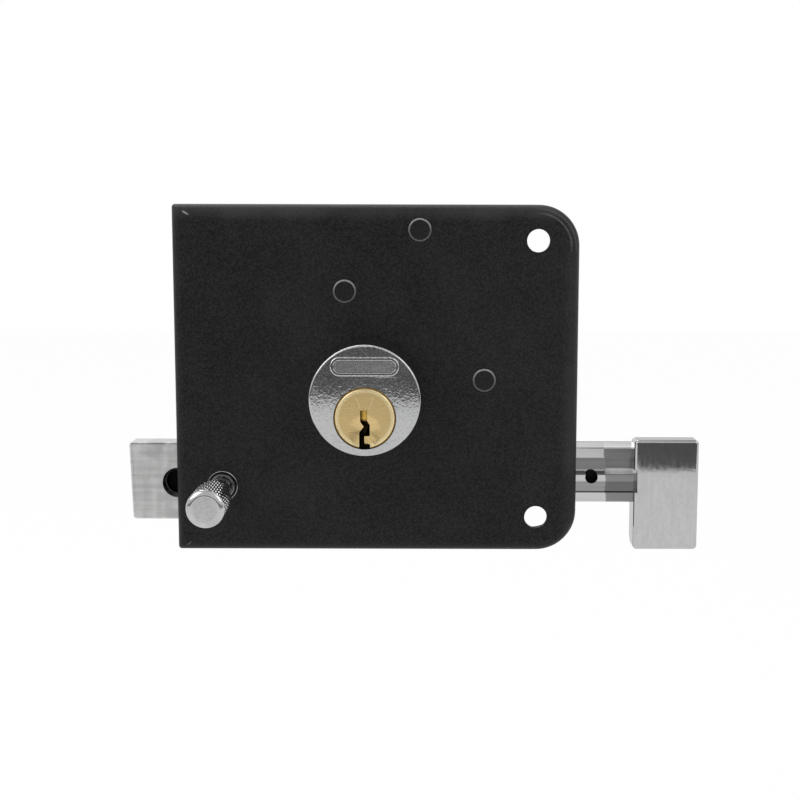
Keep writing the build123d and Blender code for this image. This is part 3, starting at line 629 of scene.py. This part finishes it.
barSkin = dict(chrome, Roughness=0.06, streak=900.0, streakStretch=(0.02, 1, 1), streakDepth=0.000006,
               wide=240.0, wideStretch=(0.03, 1, 1), wideDepth=0.00001, ragged=300.0,
               raggedStretch=(0.6, 1, 1), raggedBy=1.6, dullFrom=(69.85, 70.35), dull=0.42,
               hole=(65.0, -30.1), boreRadius=1.96, bore=(-19.38, -15.2, 0.02),
               lowBead=(-34.6, -31.4, 0.25), beadTone=0.47, groove=(-29.15, -27.6, 0.03),
               gap=(-29.4, -28.8, 0.03), lip=(-22.05, -21.65, 0.05), ramp=(-27.6, -24.8, 0.1),
               shelf=-22.0, topFrom=-20.4)


def barChrome(name, settings):
    # bright drawn chrome: long streaks, beads and grooves by height with painted shade, reflection and
    # highlight, darker and rougher by the handle, painted shade in the hole
    make = Finish(name, settings)
    across, depth, height = make.axes()
    haze = make.noise(settings["haze"], 4.0)
    streak = make.noise(settings["streak"], 3.0, make.moved(stretch=settings["streakStretch"]))
    wide = make.noise(settings["wide"], 2.0, make.moved(stretch=settings["wideStretch"]))
    ragged = make.noise(settings["ragged"], 3.0, make.moved(stretch=settings["raggedStretch"]))
    dull = (across + ragged * (settings["raggedBy"] * mm)).fade(*make.metres("dullFrom"))
    under = height.between(*make.metres("lowBead"))
    groove = height.between(*make.metres("groove"))
    gap = height.between(*make.metres("gap")) * (1.0 - dull * 0.75)
    lip = height.between(*make.metres("lip"))
    ramp = height.between(*make.metres("ramp"))
    shaded = dull * height.below(settings["shelf"] * mm)
    grooveHighlight = groove * dull
    bore = (make.reach(*make.metres("hole")).below(settings["boreRadius"] * mm)
            * depth.between(*make.metres("bore")))
    colour = make.blendColour(streak.fade(0.35, 0.65), make.tone(0.9, -0.004), make.tone(1.03, -0.004))
    # darker in random wide bands; a painted dark reflection on the lower bead; darker below the shelf by
    # the handle; painted shade in the groove, the gap and along the lip; a painted highlight on the groove
    # by the handle; painted light on the ramp; painted shade on the top face and in the hole
    for amount, shade in ((wide.fade(0.5, 0.7) * 0.3, make.tone(0.7)),
                          (under * (1.0 - settings["beadTone"]), grey(0.03)),
                          (shaded * (1.0 - settings["dull"]), grey(0.05)),
                          (groove * (1.0 - dull) * 0.45, grey(0.05)),
                          (grooveHighlight, grey(0.9)), (gap * 0.75, grey(0.04)), (lip * 0.6, grey(0.04)),
                          (ramp * 0.45, grey(0.75)),
                          (height.above(settings["topFrom"] * mm) * 0.5, grey(0.25)),
                          (bore, grey(0.012))):
        colour = make.blendColour(amount, colour, shade)
    roughness = (make.rough(haze, 0.3, 0.75, 0.0, 0.05) + streak.fade(0.4, 0.7) * 0.06
                 + dull * 0.08 + bore * 0.4 + grooveHighlight * 0.4)
    normal = make.bump(streak, "streakDepth", 0.5, make.bump(wide, "wideDepth", 0.4))
    return make.finish(colour, roughness, normal, 1.0 - grooveHighlight * 0.75)


handleSkin = dict(satin, colour=0.49, Roughness=0.03, stretch=(1, 1, 0.12), brush=1100.0, ripple=800.0,
                  rippleDepth=0.000004, haze=60.0, scratch=280.0, scratchDepth=0.000004, pits=520.0,
                  depth=0.0000008, topFrom=-18.6, sideTo=77.85)


def handleNickel(name, settings):
    # fine upright satin over polish, with small cast pits and soft rubbed patches, painted shade on the top
    # and left flanks
    make = Finish(name, settings)
    across, depth, height = make.axes()
    brush = make.noise(settings["brush"], 4.0, make.moved(stretch=settings["stretch"]))
    ripple = make.noise(settings["ripple"], 3.0)
    haze = make.noise(settings["haze"], 5.0, None, 0.6)
    lines = make.scratches((0.0, 0.2, 0.4), 0.58)
    pits = make.specks(settings["pits"], 0.03, 0.1, 0.88)
    tone = brush * 0.4 + ripple * 0.25 + haze * 0.35
    shadedFlank = height.above(settings["topFrom"] * mm).most(across.below(settings["sideTo"] * mm))
    colour = make.blendColour(tone.fade(0.38, 0.62), make.tone(0.92, 0.002), make.tone(1.05, 0.002))
    colour = make.blendColour(lines * 0.4, colour, make.tone(0.7))
    colour = make.blendColour(pits * 0.5, colour, grey(0.2))
    # painted shade: the handle's top and left flank darker
    colour = make.blendColour(shadedFlank * 0.8, colour, grey(0.1))
    roughness = make.rough(tone, 0.3, 0.7, -0.01, 0.02) + lines * 0.08
    normal = make.bump(brush, "depth", 0.6, make.bump(ripple, "rippleDepth", 0.35))
    return make.finish(colour, roughness, make.bump(lines * -1.0, "scratchDepth", 0.4, normal))


brass = {"Metallic": 1.0, "Roughness": 0.2, "colour": (0.74, 0.555, 0.25, 1),
         "dull": (0.63, 0.465, 0.225, 1), "scratched": (0.4, 0.28, 0.12, 1),
         "bright": (0.98, 0.84, 0.52, 1), "creaseHighlight": (1.0, 0.88, 0.6, 1),
         "keywayDark": (0.02, 0.012, 0.006, 1), "ringPitch": 14000.0, "ringDepth": 0.000003, "haze": 90.0,
         "scratch": 520.0, "scratchDepth": 0.000012, "rim": None, "mouth": (-52.3, -51.6),
         "crease": ((1.13, 2.5), (2.5, 6.0)), "creaseWidth": 0.13}


def turnedBrass(name, settings, centre=(0, 0)):
    # turned brass with fine rings round the centre and, where "rim" is given, the plug's face
    make = Finish(name, settings)
    radius = make.reach(centre[0] * mm, centre[1] * mm)
    rings = (radius * settings["ringPitch"]).sine()
    haze = make.noise(settings["haze"], 4.0)
    lines = make.scratches((0.2, 1.1, 1.9), 0.5)
    tone = haze.fade(0.3, 0.7) * 0.7 + rings * 0.08 + 0.12
    colour = make.blendColour(tone, settings["colour"], settings["dull"])
    colour = make.blendColour(lines * 0.35, colour, settings["scratched"])
    if settings["rim"]:
        # a painted highlight on the rolled rim, two light creases above the key mouth painted as
        # highlights, and darker deeper into the keyway
        rim = radius.between(*make.metres("rim"))
        # painted highlight: a lighter ring on the rolled rim
        colour = make.blendColour(rim * 0.6, colour, settings["bright"])
        across, depth, height = make.axes()
        (x0, z0), (x1, z1) = settings["crease"]
        lean = math.atan2(x1 - x0, z1 - z0)
        out, up = (across - centre[0] * mm).absolute() - x0 * mm, height - (centre[1] + z0) * mm
        beside = (out * math.cos(lean) - up * math.sin(lean)).absolute()
        crease = (beside.fade(0, settings["creaseWidth"] * mm, 1.0, 0.0)
                  * up.between(0, (z1 - z0) * mm, 0.2 * mm))
        # painted highlights: two light crease lines above the key mouth
        colour = make.blendColour(crease * 0.7, colour, settings["creaseHighlight"])
        # nearly black deeper into the keyway
        colour = make.blendColour(depth.fade(*make.metres("mouth")) * 0.94, colour, settings["keywayDark"])
    roughness = make.rough(haze, 0.3, 0.7, 0.0, 0.12) + lines * 0.1
    normal = make.bump(rings, "ringDepth", 0.3, make.bump(lines, "scratchDepth", 0.5))
    return make.finish(colour, roughness, normal)


zinc = {"Metallic": 1.0, "Roughness": 0.38, "colour": 0.5, "stretch": (0.08, 1, 1), "brush": 420.0,
        "spangle": 95.0, "haze": 24.0, "scratch": 240.0, "depth": 0.000008, "scratchDepth": 0.000015}


def zincPlate(name, settings):
    # rolled sheet under zinc: long grain, faint spangle, handling marks
    make = Finish(name, settings)
    grain = make.noise(settings["brush"], 4.0, make.moved(stretch=settings["stretch"]))
    spangle = make.cells(settings["spangle"], "Color")
    haze = make.noise(settings["haze"], 4.0)
    lines = make.scratches((0.15, 1.45, 2.5), 0.58)
    tone = grain * 0.45 + spangle * 0.15 + haze * 0.4
    colour = make.blendColour(tone.fade(0.3, 0.65), make.tone(0.86, -0.01), make.tone(1.08, -0.008))
    colour = make.blendColour(lines * 0.45, colour, make.tone(0.62))
    roughness = make.rough(tone, 0.3, 0.65, -0.06, 0.08) + lines * 0.08
    normal = make.bump(lines * -1.0, "scratchDepth", 0.5)
    normal = make.bump(grain, "depth", 0.6, normal)
    return make.finish(colour, roughness, normal)


knobSkin = {"Metallic": 1.0, "Roughness": 0.12, "colour": 0.52, "axis": (-46.1, -32.0), "front": -58.2,
            "endRadius": 3.5, "ringPitch": 9000.0, "ringDepth": 0.000004, "haze": 160.0, "rub": 420.0,
            "rubStretch": (1, 1, 0.3), "rubDepth": 0.00001, "smear": 900.0, "smearBend": 1.5,
            "scratch": 420.0, "valleyShade": None}


def knobNickel(name, settings):
    # turned end with fine rings and rubbed patches; the valley setting gives the radii between painted
    # shade in the knurl valleys and clean metal
    make = Finish(name, settings)
    across, depth, height = make.axes()
    radius = make.reach(*make.metres("axis"))
    onEnd = radius.below(settings["endRadius"] * mm) * depth.below(settings["front"] * mm)
    rings = (radius * settings["ringPitch"]).sine()
    haze = make.noise(settings["haze"], 4.0, None, 0.6)
    rub = make.noise(settings["rub"], 3.0, make.moved((0, 0.6, 0), settings["rubStretch"]))
    smear = make.noise(settings["smear"], 3.0, None, 0.6, settings["smearBend"])
    lines = make.scratches((0.4, 1.4, 2.2), 0.52)
    tone = haze * 0.6 + rub * 0.4
    colour = make.blendColour(tone.fade(0.35, 0.65), make.tone(0.88), make.tone(1.05))
    colour = make.blendColour(lines * 0.4, colour, make.tone(0.66))
    colour = make.blendColour(smear.fade(0.52, 0.62) * onEnd * 0.3, colour, make.tone(0.6))
    if settings["valleyShade"]:
        # painted shade in the knurl valleys, by radius
        colour = make.blendColour(radius.fade(*make.metres("valleyShade"), 0.97, 0.0), colour, grey(0.01))
    roughness = make.rough(tone, 0.3, 0.7, -0.04, 0.08) + onEnd * 0.1
    normal = make.bump(rings * onEnd, "ringDepth", 0.4, make.bump(rub, "rubDepth", 0.4))
    return make.finish(colour, roughness, normal)


# smoother spots on the mitres where the sheet's corners meet, at two corners of the case front, lighter as
# a painted highlight
seams = ({"turn": -0.52, "length": 1.3, "width": 0.34, "bright": 0.9, "at": (-55.6, 49.2)},
         {"turn": 0.72, "length": 1.2, "width": 0.22, "bright": 0.3, "at": (-56.4, -49.6)})
for seam in seams:
    x, z = (size * mm for size in seam["at"])
    seam["shift"] = -(Matrix.Rotation(seam["turn"], 3, "Y") @ Vector((x, 0, z)))
postPlaces = {"upper_post": (13.0, 44.4015), "left_post": (-9.2, 26.3925), "right_post": (32.1, 0.1)}
blackCase = blackCoat("blackCase", coat, seams)
blackPosts = blackCoat("blackPosts", dict(coat, rings=tuple(postPlaces.values())))
barrelChrome = barrelFace("barrelChrome", face)
barBright = barChrome("barBright", barSkin)
pinChrome = polishedChrome("pinChrome", dict(chrome, Roughness=0.12, colour=0.7))
bushChrome = polishedChrome("bushChrome", dict(chrome, Roughness=0.06, colour=0.6,
                                               shadeRing=(-46.1, -32.0, 3.54, 4.42, 0.06)))
satinNickel = boltNickel("satinNickel", boltSkin)
handleSatin = handleNickel("handleSatin", handleSkin)
knobChrome = knobNickel("knobChrome", knobSkin)
# the grip: a lighter copy of the knob's finish, painted light on the knurl's crests, with painted shade in
# its valleys
gripChrome = knobNickel("gripChrome", dict(knobSkin, Roughness=0.1, colour=0.9, valleyShade=(4.86, 5.1)))
plugBrass = turnedBrass("plugBrass", dict(brass, rim=(7.3, 8.3, 0.25)), (-2.0, -7.25))
pinBrass = turnedBrass("pinBrass", dict(brass, Metallic=0.45, Roughness=0.4, colour=(0.82, 0.56, 0.12, 1),
                                        dull=(0.72, 0.48, 0.1, 1)))
zincSheet = zincPlate("zincSheet", zinc)
zincStamped = zincPlate("zincStamped", dict(zinc, colour=0.46, stretch=(1, 1, 0.1)))
zincTurned = zincPlate("zincTurned", dict(zinc, colour=0.55, Roughness=0.26, stretch=(1, 1, 1)))
springWire = satinMetal("springWire", dict(satin, colour=0.42, Roughness=0.3, stretch=(1, 1, 1),
                                           brush=900.0))
groundSteel = satinMetal("groundSteel", dict(satin, colour=0.42, Roughness=0.36, stretch=(1, 1, 0.12)))
print("finishes made,", len(bpy.data.materials), "materials")


# "edge" is the width of the rounded edges, in mm
shell = {"name": "case", "node": "case_shell", "edge": 0.18}
easedPiece(shell, "case", "black_case", blackCase)

# post ends: riveted over, standing a hair proud with a rolled edge
posts = {"shank": 3.0, "shoulder": 4.4, "rivet": 3.45, "shoulderFrom": 20.0, "sheet": 23.0, "front": 25.0,
         "proud": 0.24, "roll": 0.62, "rollStep": 15, "tuck": 0.05, "dish": ((0.05, 1.8), (0.07, 0)),
         "foot": 1.6, "thread": 1.8, "threadTo": 10.6, "steps": 72}
top = posts["front"] + posts["proud"]
postProfile = [(posts["threadTo"], 0), (posts["threadTo"], posts["thread"]),
               (posts["foot"], posts["thread"]), (posts["foot"], posts["shank"]),
               (posts["shoulderFrom"], posts["shank"]), (posts["shoulderFrom"], posts["shoulder"]),
               (posts["sheet"], posts["shoulder"]), (posts["sheet"], posts["rivet"]),
               (posts["front"] - posts["tuck"], posts["rivet"])]
for degrees in range(0, 91, posts["rollStep"]):
    angle = math.radians(degrees)
    postProfile.append((top - posts["proud"] * (1 - math.sin(angle)),
                        posts["rivet"] - posts["roll"] * (1 - math.cos(angle))))
postProfile += [(top - down, radius) for down, radius in posts["dish"]]
for name, centre in postPlaces.items():
    post = lathe(name.replace("_post", "Post"), centre, postProfile, posts["steps"])
    putOn(post, "case", "black_posts", blackPosts, name)
print("case and posts made")

barrel = {"name": "barrel", "node": "cylinder_body", "edge": 0.06, "sharp": 40}
easedPiece(barrel, "case", "chrome_barrel", barrelChrome)
keyPlug = {"name": "keyPlug", "node": "plug", "edge": 0.08}
easedPiece(keyPlug, "key_plug", "brass_plug", plugBrass)

# key pins: the first one stands close behind the mouth of the keyway
keyPins = {"x": -2.0, "top": 1.1, "depths": (50.4, 41.9, 37.3, 32.7, 28.1),
           "lengths": (9.3, 8.2, 6.6, 7.8, 7.4), "radius": 1.5, "tip": 0.6, "steps": 32}
made = []
for depth, length in zip(keyPins["depths"], keyPins["lengths"]):
    low = keyPins["top"] - length
    stack = lathe("keyPin", (0, 0), [(low, 0), (low, keyPins["radius"] - keyPins["tip"]),
                                     (low + keyPins["tip"], keyPins["radius"]),
                                     (keyPins["top"], keyPins["radius"]), (keyPins["top"], 0)],
                  keyPins["steps"])
    stack.data.transform(Matrix.Translation((keyPins["x"] * mm, -depth * mm, 0))
                         @ Matrix.Rotation(math.radians(-90), 4, "X"))
    made.append(stack)
pins = soften(joined("keyPins", *made), turnedDegrees)
putOn(pins, "key_plug", "brass_pins", pinBrass, "key_pins")
print("barrel, plug and key pins made")

bolt = {"name": "bolt", "node": "bolt", "edge": 0.15}
easedPiece(bolt, "sliding_bar", "nickel_bolt", satinNickel)
bar = {"name": "bar", "node": "bar", "edge": 0.1}
easedPiece(bar, "sliding_bar", "chrome_bar", barBright)
handle = {"name": "handle", "node": "pull_handle", "edge": 0.2}
easedPiece(handle, "sliding_bar", "satin_handle", handleSatin)
print("bolt, bar and handle made")

# knob: a turned core in a sleeve whose diamond knurl is grown by rule
knob = {"axis": (-46.1, -32.0), "back": 42.2, "front": 58.6, "core": 4.46, "edge": 0.5, "outer": 5.4,
        "flat": 3.75, "roll": 2.2, "rollTo": 45, "rollStep": 5, "lip": 0.04, "lipRun": 0.06, "step": 0.04,
        "stepRun": 0.02, "bore": 2.42, "boreDepth": 11.1, "sleeveFrom": 0.1, "sleeveTo": 0.86,
        "steps": 128}
back, front, core, outer = (knob[key] for key in ("back", "front", "core", "outer"))
flat, bore, sleeveEnd = knob["flat"], knob["bore"], front - knob["sleeveTo"]
rolled = [(front - knob["roll"] * (1 - math.cos(math.radians(degrees))),
           flat + knob["roll"] * math.sin(math.radians(degrees)))
          for degrees in range(knob["rollTo"], -1, -knob["rollStep"])]
turnedKnob = lathe("knob", knob["axis"], [
    (back + knob["boreDepth"], 0), (back + knob["boreDepth"], bore), (back, bore),
    (back, core - knob["edge"]), (back + knob["edge"], core), (sleeveEnd - knob["lip"], core),
    (sleeveEnd, outer - knob["lip"]), (sleeveEnd + knob["lipRun"], outer), *rolled,
    (front - knob["step"], flat - knob["stepRun"]), (front - knob["step"], 0)],
    knob["steps"])
putOn(turnedKnob, "pin_and_knob", "chrome_knob", knobChrome, "knob")

knurl = {"Axis X": knob["axis"][0] * mm, "Axis Z": knob["axis"][1] * mm,
         "Start": (back + knob["sleeveFrom"]) * mm, "Length": (sleeveEnd - back - knob["sleeveFrom"]) * mm,
         "Ridges": 22, "Steps Per Ridge": 14, "Rows": 120, "Lead": 3.0 * mm, "Valley": 4.5 * mm,
         "Tooth Height": 0.9 * mm, "Back Edge": knob["edge"] * mm}
diamonds = Recipe("diamondKnurl", knurl)
length, start, ridges = (diamonds.size(key) for key in ("Length", "Start", "Ridges"))
valley, toothHeight = diamonds.size("Valley"), diamonds.size("Tooth Height")
blank = diamonds.add("GeometryNodeMeshCylinder", {"fill_type": "NGON"}, {
    "Vertices": ridges * diamonds.size("Steps Per Ridge"), "Side Segments": diamonds.size("Rows"),
    "Radius": 1.0, "Depth": length})
place = Value(diamonds, diamonds.add("GeometryNodeInputPosition").outputs[0])
split = diamonds.add("ShaderNodeSeparateXYZ", {}, {"Vector": place})
along = Value(diamonds, split.outputs["Z"]) + length * 0.5
cosine, sine = Value(diamonds, split.outputs["X"]), Value(diamonds, split.outputs["Y"])
turn = sine.math("ARCTAN2", cosine) / (2 * math.pi) * ridges
advance = along / diamonds.size("Lead")
# two crossed helices of half waves; the lower one at each point leaves the diamonds
leftCut, rightCut = (((turn + advance * sign) * math.pi).sine().absolute() for sign in (1.0, -1.0))
heel = valley + toothHeight - diamonds.size("Back Edge") + along
radius = (valley + leftCut.least(rightCut) * toothHeight).least(heel)
wrapped = diamonds.add("GeometryNodeSetPosition", {}, {
    "Geometry": blank.outputs["Mesh"], "Position": diamonds.vector(
        diamonds.size("Axis X") + cosine * radius, (along + start) * -1.0,
        diamonds.size("Axis Z") + sine * radius)})
diamonds.done(wrapped.outputs[0])
grip = soften(diamonds.grow("knobKnurl", gripChrome), smoothDegrees)
putOn(grip, "pin_and_knob", "chrome_knob", gripChrome)

pin = {"name": "pin", "node": "locking_pin", "edge": 0.1}
easedPiece(pin, "pin_and_knob", "chrome_pin", pinChrome)

# bush: a thin flange on the case front, a groove, then a collar that rolls in to the bore
collar = {"axis": (-46.1, -32.0), "back": 20.0, "face": 25.0, "shank": 4.0, "outer": 4.6, "bore": 3.36,
          "lip": ((0, 0), (0.22, 0), (0.32, 0.08), (0.34, 0.16), (0.24, 0.26), (0.12, 0.34), (0.12, 0.46),
                  (0.42, 0.58), (0.72, 0.78), (0.88, 0.98)),
          "mouth": ((0.86, 0.1), (0.7, 0)), "steps": 96}
bush = lathe("bush", collar["axis"], [
    (collar["back"], collar["bore"]), (collar["back"], collar["shank"]), (collar["face"], collar["shank"]),
    *((collar["face"] + proud, collar["outer"] - inward) for proud, inward in collar["lip"]),
    *((collar["face"] + proud, collar["bore"] + outward) for proud, outward in collar["mouth"]),
    (collar["back"], collar["bore"])], collar["steps"])
putOn(bush, "case", "chrome_bush", bushChrome, "bush")
print("knob, pin and bush made")

cover = {"name": "cover", "node": "back_cover", "edge": 0.12}
easedPiece(cover, "case", "zinc_cover", zincSheet)

# countersunk screws with a cross recess, one tree for the cover's and the handle's
screw = {"Head Radius": 3.28 * mm, "Head Depth": 1.4 * mm, "Shank Radius": 1.75 * mm, "Length": 9.0 * mm,
         "Rim": 0.18 * mm, "Cross Length": 3.6 * mm, "Cross Width": 0.62 * mm, "Cross Depth": 0.95 * mm,
         "Sides": 64, "Seed": 11}
screws = Recipe("crossScrews", screw)
headRadius, headDepth, rim = (screws.size(key) for key in ("Head Radius", "Head Depth", "Rim"))
length, shankRadius, sides = (screws.size(key) for key in ("Length", "Shank Radius", "Sides"))
crown = screws.add("GeometryNodeMeshCone", {"fill_type": "NGON"}, {
    "Vertices": sides, "Radius Top": headRadius - rim * 0.6, "Radius Bottom": headRadius, "Depth": rim})
sink = screws.add("GeometryNodeMeshCone", {"fill_type": "NGON"}, {
    "Vertices": sides, "Radius Top": headRadius, "Radius Bottom": shankRadius, "Depth": headDepth - rim})
shank = screws.add("GeometryNodeMeshCylinder", {"fill_type": "NGON"}, {
    "Vertices": sides, "Radius": shankRadius, "Depth": length - headDepth})
# the heights put each solid in its place below the top of the head
heights = (rim * -1.0, headDepth * -1.0, (length + headDepth) * -0.5)
solids = [screws.add("GeometryNodeTransform", {}, {
    "Geometry": solid.outputs["Mesh"], "Translation": screws.vector(z=height)}).outputs[0]
    for solid, height in zip((crown, sink, shank), heights)]
body = screws.add("GeometryNodeMeshBoolean", {"operation": "UNION"}, {"Mesh 2": solids})
crossSize = [screws.vector(screws.size(first), screws.size(second), screws.size("Cross Depth") * 2.0)
             for first, second in (("Cross Length", "Cross Width"), ("Cross Width", "Cross Length"))]
wings = [screws.add("GeometryNodeMeshCube", {}, {"Size": size}).outputs["Mesh"] for size in crossSize]
cut = screws.add("GeometryNodeMeshBoolean", {"operation": "DIFFERENCE"}, {
    "Mesh 1": body.outputs["Mesh"], "Mesh 2": wings})
turn = screws.add("FunctionNodeRandomValue", {"data_type": "FLOAT"}, {"Seed": screws.size("Seed")})
# 2, 3 and output 1 are the float sockets of this node
screws.plug(turn.inputs[2], 0.0)
screws.plug(turn.inputs[3], math.pi / 2)
scattered = screws.add("GeometryNodeInstanceOnPoints", {}, {
    "Points": screws.given.outputs["Geometry"], "Instance": cut.outputs["Mesh"],
    "Rotation": screws.vector(-math.pi / 2, turn.outputs[1], 0.0)})
screws.done(scattered.outputs[0])

coverPoints = [(x * mm, 0, z * mm) for x, z in postPlaces.values()]
coverScrews = screws.grow("coverScrews", zincTurned, coverPoints)
putOn(soften(coverScrews, screwDegrees), "case", "zinc_screws", zincTurned, "cover_screws")
handleScrew = {"Head Radius": 2.58 * mm, "Head Depth": 1.3 * mm, "Shank Radius": 1.4 * mm,
               "Length": 6.7 * mm, "Cross Length": 2.9 * mm, "Cross Width": 0.52 * mm,
               "Cross Depth": 0.8 * mm, "Seed": 4}
handleScrewPlace = {"x": 83.55, "back": 11.5, "heights": (-34.0, -28.0)}
handlePoints = [(handleScrewPlace["x"] * mm, -handleScrewPlace["back"] * mm, z * mm)
                for z in handleScrewPlace["heights"]]
handleScrews = screws.grow("handleScrews", zincTurned, handlePoints, handleScrew)
putOn(soften(handleScrews, screwDegrees), "sliding_bar", "zinc_screws", zincTurned, "handle_screws")
print("screws made")

paint(zincStamped, "clamp_plate", "spring_seat", "left_guide", "right_guide", "cam", "bolt_tail")
paint(zincTurned, "cylinder_screws", "guide_rivets", "bush_nut", "dog_screw", "cam_screw", "joint_rivets")
paint(springWire, "pin_springs", "tumbler_spring", "plug_clip")
paint(groundSteel, "tumbler")
paint(pinBrass, "driver_pins")
print("inner pieces painted")
